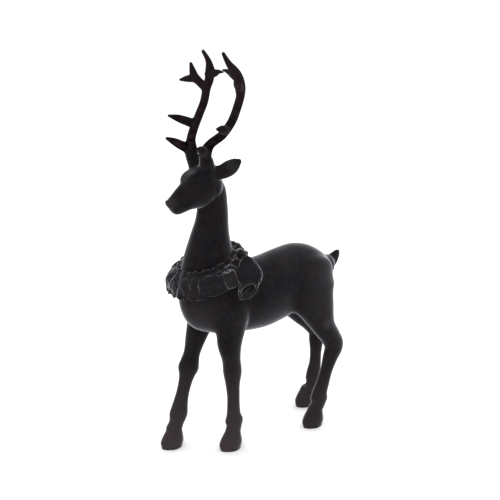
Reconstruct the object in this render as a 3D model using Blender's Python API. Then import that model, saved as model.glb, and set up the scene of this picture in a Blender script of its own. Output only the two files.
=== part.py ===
"""Standing stag figurine with a gathered collar and a side bow, and two antlers set on its pedicles.

Metres, +Z up. The stag faces -Y, its left side is +X, and its hooves stand on z = 0.
The origin is the middle of the underside of the whole figure's bounding box.

Each form is a skin: a closed tube of rings, worked out from a few named stations. The skins of one casting
are fused by a voxel remesh, smoothed, and thinned to flat facets.
Stations are in millimetres, in the carving frame: x = 0 is the stag's mid-plane.
"""

import bmesh
import bpy
import mathutils
import numpy as np

MM = 0.001

# The middle of the bounding box's underside, in the carving frame (mm)
BOX_MIDDLE = (1.1, 5.5, -1.6)

# Rings round a skin, and the fineness of the fused castings (mm, and triangles)
RING_SIDES = 36
RINGS_PER_SPAN = 5
CAP_RINGS = 4
BODY_VOXEL = 1.7
BODY_SMOOTHING = 2
BODY_TRIANGLES = 7400
ANTLER_VOXEL = 0.9
ANTLER_SMOOTHING = 1
ANTLER_TRIANGLES = 1150

VELVET_COLOUR = (0.012, 0.011, 0.013)
ANTLER_COLOUR = (0.018, 0.010, 0.011)
FLOCK_ROUGHNESS = 0.95

# Trunk: the line of the back (y, z), the line of the breast and belly (y, z), and half the width
TRUNK = (
    (102.8, 196, 100.2, 168, 16),
    (91.5, 206, 89, 153, 24),
    (74, 215, 68, 143.5, 29),
    (54, 218.4, 48, 136.5, 30.5),
    (30, 215.7, 28, 130.6, 31),
    (6, 211.5, 6, 127.6, 33),
    (-14, 211.5, -18, 128.6, 34),
    (-27, 217, -42, 131.3, 33),
    (-35, 224, -66, 136, 32),
    (-39, 232, -89, 147, 30.5),
    (-41, 240, -99.8, 165.5, 28.5),
    (-42, 247, -101, 190, 25.5),
    (-42.4, 254, -97, 218, 22),
    (-42.2, 261, -88.5, 244, 18.5),
    (-42.1, 269, -80.8, 264, 16),
    (-42.2, 281, -78.3, 279, 13.5),
    (-43.6, 297, -77.5, 294, 11),
    (-48.6, 308, -76, 306, 9.5),
)

# Head frame: it turns about the poll, which is on the mid-plane this far back
POLL_Y = -77
HEAD_TURN = np.radians(-6)

# Head: the line of the brow and nose (ahead, up), the line of the jaw (ahead, up), and half the width
HEAD = (
    (-12.5, 322.5, -12.5, 285, 14),
    (-8, 326.2, -8, 281.6, 15.2),
    (-2, 327, -2, 280.2, 15.6),
    (5, 324.8, 6, 280, 15),
    (14, 317.2, 13, 279.5, 13.5),
    (20, 310.6, 19.5, 277.6, 11),
    (27.6, 303.8, 26, 276, 9),
    (33.2, 298, 31, 276.8, 8),
    (36.8, 294.6, 35, 280.2, 6.8),
    (38, 292.8, 37, 283.6, 4.4),
)
# Brow over each eye: its middle (ahead, out, up), half its length, width and height, and its slope down ahead
BROW = (10.5, 6, 315.3)
BROW_SIZE = (8.5, 6.8, 5.3)
BROW_LINE = (1, 0, -0.6)

# Ear: centre line (ahead, out, up), half the width and half the thickness
EAR = (
    (-12, 9.5, 318.4, 7.5, 6),
    (-17.8, 16, 319.6, 8.4, 4),
    (-22.3, 23.2, 324.2, 8.5, 2.7),
    (-26, 29.8, 329.8, 6.2, 2),
    (-28.8, 34.6, 333.8, 2.4, 1.2),
)
EAR_FACES = (0.75, 0.65, -0.1)

# Pedicle: centre line (ahead, out, up) and radius. Its flat top is the seat of the antler, cut square to
# SEAT_RISE within SEAT_REACH of the middle
PEDICLE = (
    (-5.4, 7, 315, 10),
    (-4.2, 9.3, 325, 8.8),
    (-2.2, 11, 334, 7.5),
    (-1.6, 11.8, 340, 7.2),
)
SEAT = (-1.2, 11.3, 337)
SEAT_RISE = (-0.15, 0.4, 0.9)
SEAT_REACH = 12
SEAT_GAP = 0.3

# Antler: each branch is a centre line (ahead, out, up) and its radius, round from BRANCH_SIDE
BRANCH_SIDE = (1, 0.2, 0.1)
ANTLER = {
    "beam": (
        (-1, 11, 335, 6.9),
        (-1, 11.8, 341, 6.9),
        (-3.4, 18.5, 351.5, 5.1),
        (-11.8, 29, 362.3, 4.8),
        (-19.7, 34.5, 375.8, 4.6),
        (-25.8, 36, 391, 4.5),
        (-28.8, 38, 405, 4.6),
        (-29.6, 35.5, 415, 5.0),
        (-27.3, 31, 424.5, 5.3),
        (-21.2, 25.9, 435.5, 3.2),
        (-14.6, 27.2, 445.2, 1.9),
    ),
    "brow tine": (
        (-1, 13, 341.6, 5.3),
        (5, 18.8, 344.2, 5.2),
        (12, 25.6, 347.8, 4.2),
        (18.6, 31.8, 350.6, 1.8),
    ),
    "second tine": (
        (-13, 33, 367.2, 5.2),
        (-6.9, 40.2, 369.2, 4.9),
        (-0.2, 46.5, 371.2, 3.9),
        (7.6, 51.6, 372.8, 1.5),
    ),
    "fork stem": (
        (-27.5, 38, 405, 4.2),
        (-22.8, 44.6, 411.6, 4.6),
        (-19.1, 48.8, 416, 4.9),
        (-16.8, 50.8, 423, 3.6),
        (-14.8, 52.2, 430.2, 1.7),
    ),
    "fork tine": (
        (-19.4, 48.8, 415, 4.6),
        (-14.4, 57.3, 413.2, 3.7),
        (-10.1, 63.9, 411.3, 1.6),
    ),
    "crown tine": (
        (-27.7, 33, 421, 5.2),
        (-28.3, 23, 423.3, 4.3),
        (-27.5, 13.5, 425.4, 2.4),
        (-27.5, 4.4, 426, 1.0),
    ),
}
# The right antler is the left one mirrored, leaning further back and set further ahead
FOOT = (-1, 12, 338.5)
RIGHT_LEAN = np.radians(6.2)
RIGHT_AHEAD = 4.2

# Legs, from the shoulder or haunch down to the coronet: centre line (x, y, z), half the width, half the depth
LEFT_FORELEG = (
    (19, -46, 188, 12, 26),
    (22, -49, 165, 13.5, 22),
    (22.5, -52.6, 144, 13, 18),
    (22, -54.2, 126, 11.8, 15),
    (21.5, -51.8, 107, 9.8, 11),
    (21, -49.8, 91, 9.4, 11.1),
    (21, -49.6, 77, 7.6, 8.7),
    (21, -48.7, 62, 6.5, 7.6),
    (21, -48.6, 48, 6.6, 7.8),
    (21, -48.4, 39, 7, 8.8),
    (21, -47.9, 32, 8.3, 11.2),
    (21, -48, 25, 7.6, 9.4),
    (21, -49.6, 19, 7.8, 9.4),
)
RIGHT_FORELEG = (
    (-19, -48, 188, 12, 26),
    (-22, -53, 165, 13.5, 22),
    (-23.5, -60, 144, 13, 17.5),
    (-24, -66.9, 126, 11.8, 13),
    (-24.5, -72.8, 107, 9.2, 9.8),
    (-24, -76.3, 97, 9.4, 11.4),
    (-24, -78.7, 89, 9.5, 13),
    (-24, -81.2, 80, 8, 9.6),
    (-24, -83.6, 72, 7, 8.2),
    (-24, -87.3, 60, 6.6, 8),
    (-24, -90.6, 48, 7, 9.6),
    (-24, -93.4, 36.5, 8.2, 11.4),
    (-24, -96.6, 26.5, 7.5, 9),
    (-24, -100, 19, 7.8, 10.2),
)
LEFT_HINDLEG = (
    (17, 67.5, 192, 14.5, 32),
    (21, 64.5, 166, 17, 35),
    (26, 71, 142, 15.5, 23.6),
    (29, 78.7, 121, 12, 15.2),
    (30, 89.3, 105, 9.6, 12.8),
    (30, 95, 92, 8.8, 13),
    (30, 89.4, 78, 7.8, 10),
    (30.5, 83.2, 63, 6.5, 8.1),
    (31, 77.6, 49, 6.8, 8.6),
    (31.3, 73.2, 39, 7.6, 9.8),
    (31.5, 71.4, 31, 8.3, 11.4),
    (31.5, 70, 24.5, 7.4, 9),
    (31.5, 66, 18.5, 7.6, 8.8),
)
RIGHT_HINDLEG = (
    (-17, 70, 192, 14.5, 31),
    (-21, 70, 166, 17, 34),
    (-25, 80.5, 142, 15.5, 25.5),
    (-26, 93.8, 121, 12, 17.6),
    (-26, 106.4, 105, 9.4, 12.6),
    (-26, 116.4, 92, 8.6, 11.6),
    (-25.2, 116, 78, 7.8, 9.9),
    (-24.2, 114.5, 63, 6.5, 7.7),
    (-23, 112.6, 49, 6.8, 8),
    (-22.2, 109.9, 39.5, 7.6, 9.4),
    (-21.5, 108.7, 31.5, 8.2, 10.6),
    (-21.2, 107.3, 24, 7.2, 8.6),
    (-21, 104, 17.5, 7.6, 8.8),
)

# Hoof: height, how far its middle lies ahead of the sole's middle, half the width, half the length. The front
# is narrowed by the share HOOF_POINT
HOOF = (
    (23, -3.2, 6.8, 7.8),
    (17.5, -2.8, 8.9, 10.2),
    (11.5, -1.2, 10.4, 12.9),
    (6, -0.2, 10.9, 14.6),
    (2, 0, 10.3, 13.8),
    (-5, 0.2, 8.8, 11.8),
)
HOOF_POINT = 0.35
SOLE_MIDDLES = ((21, -53.5), (-24, -103.4), (31.5, 61.4), (-21, 94.6))

# Tail: the line of its top (y, z), the line of its underside (y, z), and half the width
TAIL = (
    (94, 190, 96, 174, 7),
    (104, 193, 106, 173.5, 6.6),
    (112, 195.4, 113, 175.5, 6),
    (118.5, 197.6, 118.8, 178.8, 5.2),
    (123, 199.4, 122.8, 182.6, 4.2),
    (126, 199.3, 126, 187.6, 2.6),
)

# Collar: a gathered band between two lines round the neck, its neck edge and its hem. Each line: how far it
# reaches to either side, then its place fore and aft and its height, each as a level, a share of the sine of
# the turn and a share of its square. The turn is 0 at the left and a quarter behind
NECK_LINE = (25.5, (-73, 30.5, 3), (220, 9.9, 3.6))
HEM_LINE = (49, (-65, 43.5, -2.5), (203, 21, 3))
# Half the band's thickness at the hem, and the share of it at the neck
COLLAR_PUFF = 4.6
NECK_EDGE = 0.5
SECTION_STEPS = 28
# Gathers: how many, how unevenly they wander, and how deep they swell the band and wave its hem
GATHERS = 17
GATHER_STEPS = 12
GATHER_WANDER = 0.9
GATHER_SWELL = 0.32
HEM_WAVE = 0.04

# Bow on the left shoulder. Knot: its middle, which way it stands and faces, half its width, height and depth
KNOT = (46.3, -71.5, 209.8)
KNOT_RISE = (-0.22, -0.29, 0.93)
KNOT_OUT = (0.88, -0.35, 0.1)
KNOT_SIZE = (7.2, 8.9, 6.6)
# The power its cosines and sines are raised to: the lower, the squarer
KNOT_SQUARENESS = 0.4
KNOT_RINGS = 11
# Rear loop: the middle of each ring and its two half-axes (x, y, z), from the closed top to the rim of the
# mouth, then inside
REAR_LOOP = (
    (43.8, -48.8, 231, 1.2, 2, 0.4, 1.4, -1, 0.5),
    (45.2, -48.4, 226.4, 3.6, 5.8, 1.2, 4, -2.3, 1),
    (47.4, -46.4, 218.2, 6, 9.2, 1.3, 6.2, -3.4, 0),
    (50.2, -46.4, 207.2, 6.8, 10.6, 3, 6.5, -4, 1.5),
    (53, -50.3, 199.7, 6, 10.2, 4.6, 4.2, -4.8, 4.5),
    (54.5, -53.8, 194, 4.9, 9, 6, 0.6, -5, 7.4),
    (54, -53.3, 195.2, 3.9, 7.3, 4.9, 0.6, -3.8, 5.7),
    (52, -51.3, 198.7, 3.6, 6.4, 3.6, 2, -2.5, 3.5),
    (50, -49.8, 202.7, 2.2, 4, 2.2, 1.3, -1.3, 1.5),
)
# Pinch between knot and rear loop: centre line (x, y, z), half the height and half the thickness
PINCH = (
    (43.5, -68, 210, 5, 3.6),
    (44, -60, 210, 5, 3.8),
    (46, -51, 211, 8, 4.6),
)
# Front loop, lying forward on the collar: the same
FRONT_LOOP = (
    (43.5, -76, 209, 5.5, 2.8),
    (41, -86, 206.8, 9.3, 3.3),
    (35.5, -95, 204.8, 9.6, 3),
    (30.5, -100.5, 204, 7, 2),
)
RIBBON_RISE = (0.1, 0.2, 1)


def unit(vector):
    """The vector scaled to length one; rows are scaled one by one."""
    vector = np.asarray(vector, float)
    return vector / np.linalg.norm(vector, axis=-1, keepdims=True)


def through(stations, per_span=RINGS_PER_SPAN):
    """Rows read from a Catmull-Rom curve through the stations, per_span rows to each span."""
    rows = np.asarray(stations, float)
    padded = np.vstack([2 * rows[0] - rows[1], rows, 2 * rows[-1] - rows[-2]])
    place = np.linspace(0, len(rows) - 1, (len(rows) - 1) * per_span + 1)
    span = np.minimum(place.astype(int), len(rows) - 2)
    t = (place - span)[:, None]
    a, b, c, d = (padded[span + k] for k in range(4))
    return 0.5 * (2 * b + (c - a) * t + (2 * a - 5 * b + 4 * c - d) * t**2 + (3 * b - a - 3 * c + d) * t**3)


def skin(centre, across, upright):
    """A closed tube: ring i is centre + across * cos + upright * sin, with a round cap past each end."""
    ease = np.linspace(0, np.pi / 2, CAP_RINGS + 1)[1:-1]
    reach = min(np.linalg.norm(across[0]), np.linalg.norm(upright[0]))
    far_reach = min(np.linalg.norm(across[-1]), np.linalg.norm(upright[-1]))
    start = unit(centre[0] - centre[1]) * reach
    end = unit(centre[-1] - centre[-2]) * far_reach
    shrink = np.cos(ease)[:, None]
    out = np.sin(ease)[:, None]
    middles = np.vstack([(centre[0] + out * start)[::-1], centre, centre[-1] + out * end])
    sides = np.vstack([(shrink * across[0])[::-1], across, shrink * across[-1]])
    tops = np.vstack([(shrink * upright[0])[::-1], upright, shrink * upright[-1]])
    angle = np.linspace(0, 2 * np.pi, RING_SIDES, endpoint=False)[None, :, None]
    rings = middles[:, None] + sides[:, None] * np.cos(angle) + tops[:, None] * np.sin(angle)
    return close_rings(rings, centre[0] + start, centre[-1] + end)


def close_rings(rings, first_pole, last_pole):
    """Points and faces of a run of rings, closed by a pole at each end."""
    count, sides = rings.shape[:2]
    points = np.vstack([rings.reshape(-1, 3), first_pole, last_pole])
    step = np.arange(sides)
    after = np.roll(step, -1)
    rows = np.arange(count - 1)[:, None] * sides
    quads = np.stack([rows + step, rows + after, rows + sides + after, rows + sides + step], axis=-1)
    faces = quads.reshape(-1, 4).tolist()
    first, last = count * sides, count * sides + 1
    tail = (count - 1) * sides
    faces += [(first, b, a) for a, b in zip(step.tolist(), after.tolist())]
    faces += [(last, tail + a, tail + b) for a, b in zip(step.tolist(), after.tolist())]
    return points, faces


def profile_skin(stations, place):
    """A skin whose rings span a line of stations above and a line below, each with a half width."""
    rows = through(stations)
    above, below = place(rows[:, 0], rows[:, 1]), place(rows[:, 2], rows[:, 3])
    side = place(0, 0, 1) - place(0, 0)
    return skin((above + below) / 2, rows[:, 4:5] * side, (above - below) / 2)


def limb_skin(centres, wide, deep, side):
    """A skin round a centre line; side is the direction of the half widths, made square to the line."""
    line = unit(np.gradient(centres, axis=0))
    side = np.broadcast_to(np.asarray(side, float), centres.shape)
    across = unit(side - np.sum(side * line, axis=1, keepdims=True) * line)
    return skin(centres, across * wide[:, None], np.cross(line, across) * deep[:, None])


def body_place(y, z, x=0):
    """A point of the body's side view, x to the left of the mid-plane."""
    y, z, x = np.broadcast_arrays(y, z, x)
    return np.stack([x, y, z], axis=-1).astype(float)


def head_place(ahead, up, out=0):
    """A point of the head: ahead of the poll, out to the left of its mid-plane, up from the ground."""
    ahead, up, out = np.broadcast_arrays(ahead, up, out)
    x = ahead * np.sin(HEAD_TURN) + out * np.cos(HEAD_TURN)
    y = POLL_Y - ahead * np.cos(HEAD_TURN) + out * np.sin(HEAD_TURN)
    return np.stack([x, y, up], axis=-1).astype(float)


def head_direction(vector, hand):
    """A direction (ahead, out, up) of the head, mirrored for the right hand side."""
    ahead, out, up = vector
    return head_place(ahead, up, out * hand) - head_place(0, 0)


def trunk():
    """Body and neck: rings from the line of the back to the line of the breast and belly."""
    return profile_skin(TRUNK, body_place)


def head():
    """Skull and muzzle: rings from the line of the brow and nose to the line of the jaw."""
    return profile_skin(HEAD, head_place)


def brow(hand):
    """An egg-shaped swelling over the eye."""
    ahead, out, up = BROW
    middle = head_place(ahead, up, out * hand)
    long, wide, tall = BROW_SIZE
    reach = np.linspace(-0.9, 0.9, 9)
    swell = np.sqrt(1 - reach**2)
    centres = middle + reach[:, None] * long * head_direction(BROW_LINE, hand)
    return limb_skin(centres, wide * swell, tall * swell, head_direction((0, 1, 0), hand))


def ear(hand):
    """A leaf-shaped ear; its broad side is square to the direction the ear faces."""
    rows = through(EAR)
    centres = head_place(rows[:, 0], rows[:, 2], rows[:, 1] * hand)
    line = unit(centres[-1] - centres[0])
    broad = np.cross(line, unit(head_direction(EAR_FACES, hand)))
    return limb_skin(centres, rows[:, 3], rows[:, 4], broad)


def antler_place(ahead, out, up, hand):
    """A point of an antler, its pedicle or its seat, with the right one's lean."""
    if hand < 0:
        foot_ahead, _, foot_up = FOOT
        behind, above = ahead - foot_ahead, up - foot_up
        turn_cos, turn_sin = np.cos(RIGHT_LEAN), np.sin(RIGHT_LEAN)
        ahead = foot_ahead + behind * turn_cos - above * turn_sin + RIGHT_AHEAD
        up = foot_up + above * turn_cos + behind * turn_sin
    return head_place(ahead, up, out * hand)


def pedicle(hand):
    """A horn stump: its foot belongs to the skull, and its top follows the antler it carries."""
    rows = through(PEDICLE)
    ahead, out, up = rows[:, 0], rows[:, 1], rows[:, 2]
    follow = np.clip((up - up[0]) / (SEAT[2] - up[0]), 0, 1)[:, None]
    centres = (1 - follow) * head_place(ahead, up, out * hand) + follow * antler_place(ahead, out, up, hand)
    return limb_skin(centres, rows[:, 3], rows[:, 3], head_direction(BRANCH_SIDE, hand))


def round_branch(stations, hand):
    """A branch of an antler: a round tube through its stations."""
    rows = through(stations)
    centres = antler_place(rows[:, 0], rows[:, 1], rows[:, 2], hand)
    return limb_skin(centres, rows[:, 3], rows[:, 3], head_direction(BRANCH_SIDE, hand))


def seat(hand):
    """The middle of an antler's seat, and the direction square to it."""
    middle = antler_place(*SEAT, hand)
    above = antler_place(*(np.array(SEAT) + SEAT_RISE), hand)
    return middle, unit(above - middle)


def leg(stations):
    """A leg down to the coronet, with half the width and half the depth at each station."""
    rows = through(stations)
    return limb_skin(rows[:, :3], rows[:, 3], rows[:, 4], (1, 0, 0))


def hoof(middle):
    """Level rings from the coronet to just under the ground, drawn to a blunt point in front."""
    rows = through(HOOF)
    x, y = middle
    angle = np.linspace(0, 2 * np.pi, RING_SIDES, endpoint=False)
    width = np.cos(angle) * (1 - HOOF_POINT * np.clip(-np.sin(angle), 0, 1) ** 2)
    rings = np.empty((len(rows), RING_SIDES, 3))
    rings[:, :, 0] = x + rows[:, 2:3] * width
    rings[:, :, 1] = y - rows[:, 1:2] + rows[:, 3:4] * np.sin(angle)
    rings[:, :, 2] = rows[:, 0:1]
    return close_rings(rings[::-1], rings[-1].mean(axis=0), rings[0].mean(axis=0))


def tail():
    """A short upright tail, deep at the root: rings from the line of its top to the line of its underside."""
    return profile_skin(TAIL, body_place)


def round_neck(line, turn):
    """A line round the neck, side to side by the cosine of the turn, fore and aft and up by its sine."""
    reach, back, up = line
    sine = np.sin(turn)
    terms = (reach * np.cos(turn), back[0] + back[1] * sine + back[2] * sine**2)
    return np.stack([*terms, up[0] + up[1] * sine + up[2] * sine**2], axis=-1)


def collar():
    """A band with a long oval section, swollen and drawn in by its gathers, from neck line to hem line."""
    turn = np.linspace(0, 2 * np.pi, GATHERS * GATHER_STEPS, endpoint=False)
    inner, outer = round_neck(NECK_LINE, turn), round_neck(HEM_LINE, turn)
    middle = (inner + outer) / 2
    around = np.roll(middle, -1, axis=0) - np.roll(middle, 1, axis=0)
    lift = unit(np.cross(outer - inner, around))
    angle = np.linspace(0, 2 * np.pi, SECTION_STEPS, endpoint=False)[None, :]
    outward = (1 + np.cos(angle)) / 2
    gather = np.cos(GATHERS * turn + GATHER_WANDER * np.sin(3 * turn))[:, None]
    place = outward * (1 + HEM_WAVE * gather)
    puff = COLLAR_PUFF * (NECK_EDGE + (1 - NECK_EDGE) * outward)
    thick = puff * np.sin(angle) * (1 + GATHER_SWELL * gather)
    points = inner[:, None] + place[..., None] * (outer - inner)[:, None] + thick[..., None] * lift[:, None]
    count, sides = thick.shape
    step, after = np.arange(sides), np.roll(np.arange(sides), -1)
    row, next_row = np.arange(count)[:, None] * sides, np.roll(np.arange(count), -1)[:, None] * sides
    quads = np.stack([row + step, next_row + step, next_row + after, row + after], axis=-1)
    return points.reshape(-1, 3), quads.reshape(-1, 4).tolist()


def knot():
    """A square-shouldered cushion: its cosines and sines are raised to a low power, which squares them."""
    wide, tall, deep = KNOT_SIZE
    rise = unit(KNOT_RISE)
    across = unit(np.cross(rise, KNOT_OUT))
    out = np.cross(across, rise)
    lean = np.linspace(-np.pi / 2, np.pi / 2, KNOT_RINGS)[1:-1, None, None]
    climb, shrink = squared(np.sin(lean)), squared(np.cos(lean))
    angle = np.linspace(0, 2 * np.pi, RING_SIDES, endpoint=False)[None, :, None]
    middle = np.array(KNOT, float)
    rings = middle + climb * tall * rise
    rings = rings + shrink * (squared(np.cos(angle)) * wide * across - squared(np.sin(angle)) * deep * out)
    return close_rings(rings, middle - tall * rise, middle + tall * rise)


def squared(share):
    """Push a sine or cosine towards -1 or 1, keeping its sign."""
    return np.sign(share) * np.abs(share) ** KNOT_SQUARENESS


def rear_loop():
    """A puffed loop of ribbon: rings from its closed top to the rim of its mouth, then back up inside."""
    rows = through(REAR_LOOP)
    centre, along, outward = rows[:, None, 0:3], rows[:, None, 3:6], rows[:, None, 6:9]
    angle = np.linspace(0, 2 * np.pi, RING_SIDES, endpoint=False)[None, :, None]
    rings = centre + along * np.cos(angle) + outward * np.sin(angle)
    return close_rings(rings, centre[0, 0], centre[-1, 0])


def ribbon(stations):
    """A flat band of ribbon with rounded edges, standing on edge along its centre line."""
    rows = through(stations)
    return limb_skin(rows[:, :3], rows[:, 3], rows[:, 4], RIBBON_RISE)


def stag_skins():
    skins = [trunk(), head(), tail(), collar(), knot(), rear_loop()]
    skins += [ribbon(PINCH), ribbon(FRONT_LOOP)]
    for hand in (1, -1):
        skins += [brow(hand), ear(hand), pedicle(hand)]
    skins += [leg(LEFT_FORELEG), leg(RIGHT_FORELEG)]
    skins += [leg(LEFT_HINDLEG), leg(RIGHT_HINDLEG)]
    return skins + [hoof(middle) for middle in SOLE_MIDDLES]


def antler_skins(hand):
    return [round_branch(stations, hand) for stations in ANTLER.values()]


def mesh_of(name, skins):
    """One mesh of all the skins, in metres, about the middle of the bounding box."""
    mesh = bpy.data.meshes.new(name)
    points, faces, start = [], [], 0
    for some_points, some_faces in skins:
        points.append(some_points)
        faces += [[start + corner for corner in face] for face in some_faces]
        start += len(some_points)
    points = (np.vstack(points) - BOX_MIDDLE) * MM
    mesh.from_pydata(points.tolist(), [], faces)
    return mesh


def evaluated(obj):
    """The object's mesh with its modifiers applied, and the modifiers gone."""
    mesh = bpy.data.meshes.new_from_object(obj.evaluated_get(bpy.context.evaluated_depsgraph_get()))
    obj.modifiers.clear()
    obj.data = mesh
    return mesh


def fuse(name, skins, voxel):
    """An object of the skins, fused into one closed surface."""
    obj = bpy.data.objects.new(name, mesh_of(name, skins))
    bpy.context.scene.collection.objects.link(obj)
    remesh = obj.modifiers.new("Fuse", "REMESH")
    remesh.mode = "VOXEL"
    remesh.voxel_size = voxel * MM
    evaluated(obj)
    return obj


def smooth(obj, rounds):
    """Each round moves every point half way to the mean of its neighbours."""
    mesh = obj.data
    count = len(mesh.vertices)
    points = np.empty(count * 3)
    mesh.vertices.foreach_get("co", points)
    points = points.reshape(-1, 3)
    edges = np.empty(len(mesh.edges) * 2, np.int32)
    mesh.edges.foreach_get("vertices", edges)
    one, other = edges.reshape(-1, 2).T
    valence = np.bincount(np.concatenate([one, other]), minlength=count)[:, None]
    for _ in range(rounds):
        total = np.zeros_like(points)
        for axis in range(3):
            total[:, axis] = np.bincount(one, points[other, axis], count)
            total[:, axis] += np.bincount(other, points[one, axis], count)
        points += 0.5 * (total / valence - points)
    mesh.vertices.foreach_set("co", points.ravel())
    mesh.update()


def thin(obj, triangles):
    """Collapse edges until about this many triangles are left."""
    obj.data.calc_loop_triangles()
    decimate = obj.modifiers.new("Thin", "DECIMATE")
    decimate.ratio = triangles / len(obj.data.loop_triangles)
    decimate.use_collapse_triangulate = True
    evaluated(obj)


def cut_flat(obj, point, normal, reach=None):
    """Cut away what lies behind the plane, within reach of the point, and close the cut with flat faces."""
    bm = bmesh.new()
    bm.from_mesh(obj.data)
    point = mathutils.Vector(point)
    near = {vert for vert in bm.verts if reach is None or (vert.co - point).length < reach}
    faces = {face for vert in near for face in vert.link_faces}
    edges = {edge for face in faces for edge in face.edges}
    verts = {vert for face in faces for vert in face.verts}
    geometry = [*verts, *edges, *faces]
    cut = bmesh.ops.bisect_plane(bm, geom=geometry, plane_co=point, plane_no=normal, clear_inner=True)
    rim = [item for item in cut["geom_cut"] if isinstance(item, bmesh.types.BMEdge)]
    bmesh.ops.edgeloop_fill(bm, edges=rim)
    bmesh.ops.triangulate(bm, faces=bm.faces[:])
    bmesh.ops.recalc_face_normals(bm, faces=bm.faces[:])
    bm.to_mesh(obj.data)
    bm.free()


def flock(name, colour):
    """The material of a flocked casting."""
    made = bpy.data.materials.new(name)
    made.use_nodes = True
    shader = made.node_tree.nodes["Principled BSDF"]
    shader.inputs["Base Color"].default_value = (*colour, 1)
    shader.inputs["Roughness"].default_value = FLOCK_ROUGHNESS
    made.diffuse_color = (*colour, 1)
    return made


def metres(point):
    """A carving-frame point in metres, about the middle of the bounding box."""
    return (np.asarray(point, float) - BOX_MIDDLE) * MM


def make_stag():
    """The whole stag but its antlers, standing on flat soles, with a flat seat on each pedicle."""
    stag = fuse("deer", stag_skins(), BODY_VOXEL)
    smooth(stag, BODY_SMOOTHING)
    thin(stag, BODY_TRIANGLES)
    cut_flat(stag, (0, 0, 0), (0, 0, 1))
    for hand in (1, -1):
        middle, rise = seat(hand)
        cut_flat(stag, metres(middle), -rise, SEAT_REACH * MM)
    stag.data.materials.append(flock("black_velvet", VELVET_COLOUR))
    return stag


def make_antler(name, hand):
    """One antler, its foot cut flat a small gap above its seat."""
    antler = fuse(name, antler_skins(hand), ANTLER_VOXEL)
    smooth(antler, ANTLER_SMOOTHING)
    thin(antler, ANTLER_TRIANGLES)
    middle, rise = seat(hand)
    cut_flat(antler, metres(middle + SEAT_GAP * rise), rise)
    antler.data.materials.append(flock(name + "_flock", ANTLER_COLOUR))
    return antler


def main():
    for obj in list(bpy.data.objects):
        bpy.data.objects.remove(obj)
    make_stag()
    make_antler("left_antler", 1)
    make_antler("right_antler", -1)


main()
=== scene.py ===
"""Standing stag figurine, flocked black, with a gathered collar, a bow and two antlers.

Everything is in the solids' frame: metres, +Z up, the stag faces -Y and its left side is +X.
Forms are worked out in the carving frame, in millimetres, where x = 0 is the stag's mid-plane.
Each form is a skin: a closed tube of rings round a line of stations. The skins of one casting are
fused at a fine grid and smoothed. Then joints are filled and grooves carved, by moving the surface
along its own normal.
"""

import bmesh
import bpy
import numpy as np
from bpy.props import FloatProperty, FloatVectorProperty, IntProperty, PointerProperty
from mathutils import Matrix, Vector


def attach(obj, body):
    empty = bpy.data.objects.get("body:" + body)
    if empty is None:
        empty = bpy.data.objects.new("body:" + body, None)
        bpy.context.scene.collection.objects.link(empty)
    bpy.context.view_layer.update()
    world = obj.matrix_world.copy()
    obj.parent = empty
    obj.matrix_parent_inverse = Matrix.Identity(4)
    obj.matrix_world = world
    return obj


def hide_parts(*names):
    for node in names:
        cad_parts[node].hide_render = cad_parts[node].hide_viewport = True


bl_info = {
    "name": "Flocked stag figurine",
    "version": (1, 0, 0),
    "blender": (4, 5, 0),
    "location": "View3D > Sidebar > Stag",
    "description": "Makes a flocked standing stag with a gathered collar, a bow and two antlers",
    "category": "Add Mesh",
}

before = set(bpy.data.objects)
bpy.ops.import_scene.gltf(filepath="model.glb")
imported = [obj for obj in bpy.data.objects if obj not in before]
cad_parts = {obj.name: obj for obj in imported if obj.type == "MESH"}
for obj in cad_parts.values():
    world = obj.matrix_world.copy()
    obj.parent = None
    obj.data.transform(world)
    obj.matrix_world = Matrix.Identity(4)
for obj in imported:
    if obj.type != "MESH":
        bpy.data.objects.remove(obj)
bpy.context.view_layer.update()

MM = 0.001
# Where the solids' origin lies in the carving frame
BOX_MIDDLE = (1.1, 5.5, -1.6)
# The hand of a form that is made twice
LEFT, RIGHT = 1, -1

# Skins: points round a ring, rings from one station to the next, and rings of a round cap
RING_SIDES = 72
RINGS_PER_SPAN = 10
CAP_RINGS = 8

# Trunk: the line of the back (y, z), the line of the breast and belly (y, z), half the width
TRUNK = (
    (102.8, 196, 100.2, 168, 16),
    (91.5, 206, 89, 153, 24),
    (74, 215, 68, 143.5, 29),
    (54, 218.4, 48, 136.5, 30.5),
    (30, 215.7, 28, 130.6, 31),
    (6, 211.5, 6, 127.6, 33),
    (-14, 211.5, -18, 128.6, 34),
    (-27, 217, -42, 131.3, 33),
    (-35, 224, -66, 136, 32),
    (-39, 232, -89, 147, 30.5),
    (-41, 240, -99.8, 165.5, 28.5),
    (-42, 247, -101, 190, 25.5),
    (-42.4, 254, -97, 218, 22),
    (-42.2, 261, -88.5, 244, 18.5),
    (-42.1, 269, -80.8, 264, 16),
    (-42.2, 281, -78.3, 279, 13.5),
    (-43.6, 297, -77.5, 294, 11),
    (-48.6, 308, -76, 306, 9.5),
)
NECK_FROM = 9

# Head frame: it turns about the poll, which is on the mid-plane this far back
POLL_Y = -77
HEAD_TURN = np.radians(-6)

# Head: the line of the brow and nose (ahead, up), the line of the jaw (ahead, up), half the width
HEAD = (
    (-12.5, 322.5, -12.5, 285, 14),
    (-8, 326.2, -8, 281.6, 15.2),
    (-2, 327, -2, 280.2, 15.6),
    (5, 324.8, 6, 280, 15),
    (14, 317.2, 13, 279.5, 13.5),
    (20, 310.6, 19.5, 277.6, 11),
    (27.6, 303.8, 26, 276, 9),
    (33.2, 298, 31, 276.8, 8),
    (36.8, 294.6, 35, 280.2, 6.8),
    (38, 292.8, 37, 283.6, 4.4),
)
# Brow over each eye: its middle (ahead, out, up), half its length, width and height, and its slope
BROW = (10.5, 6, 315.3)
BROW_SIZE = (8.5, 6.8, 5.3)
BROW_LINE = (1, 0, -0.6)
# Its rings, and how near they come to its two ends (0 to 1)
BROW_RINGS = 17
BROW_ENDS = 0.9

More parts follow.
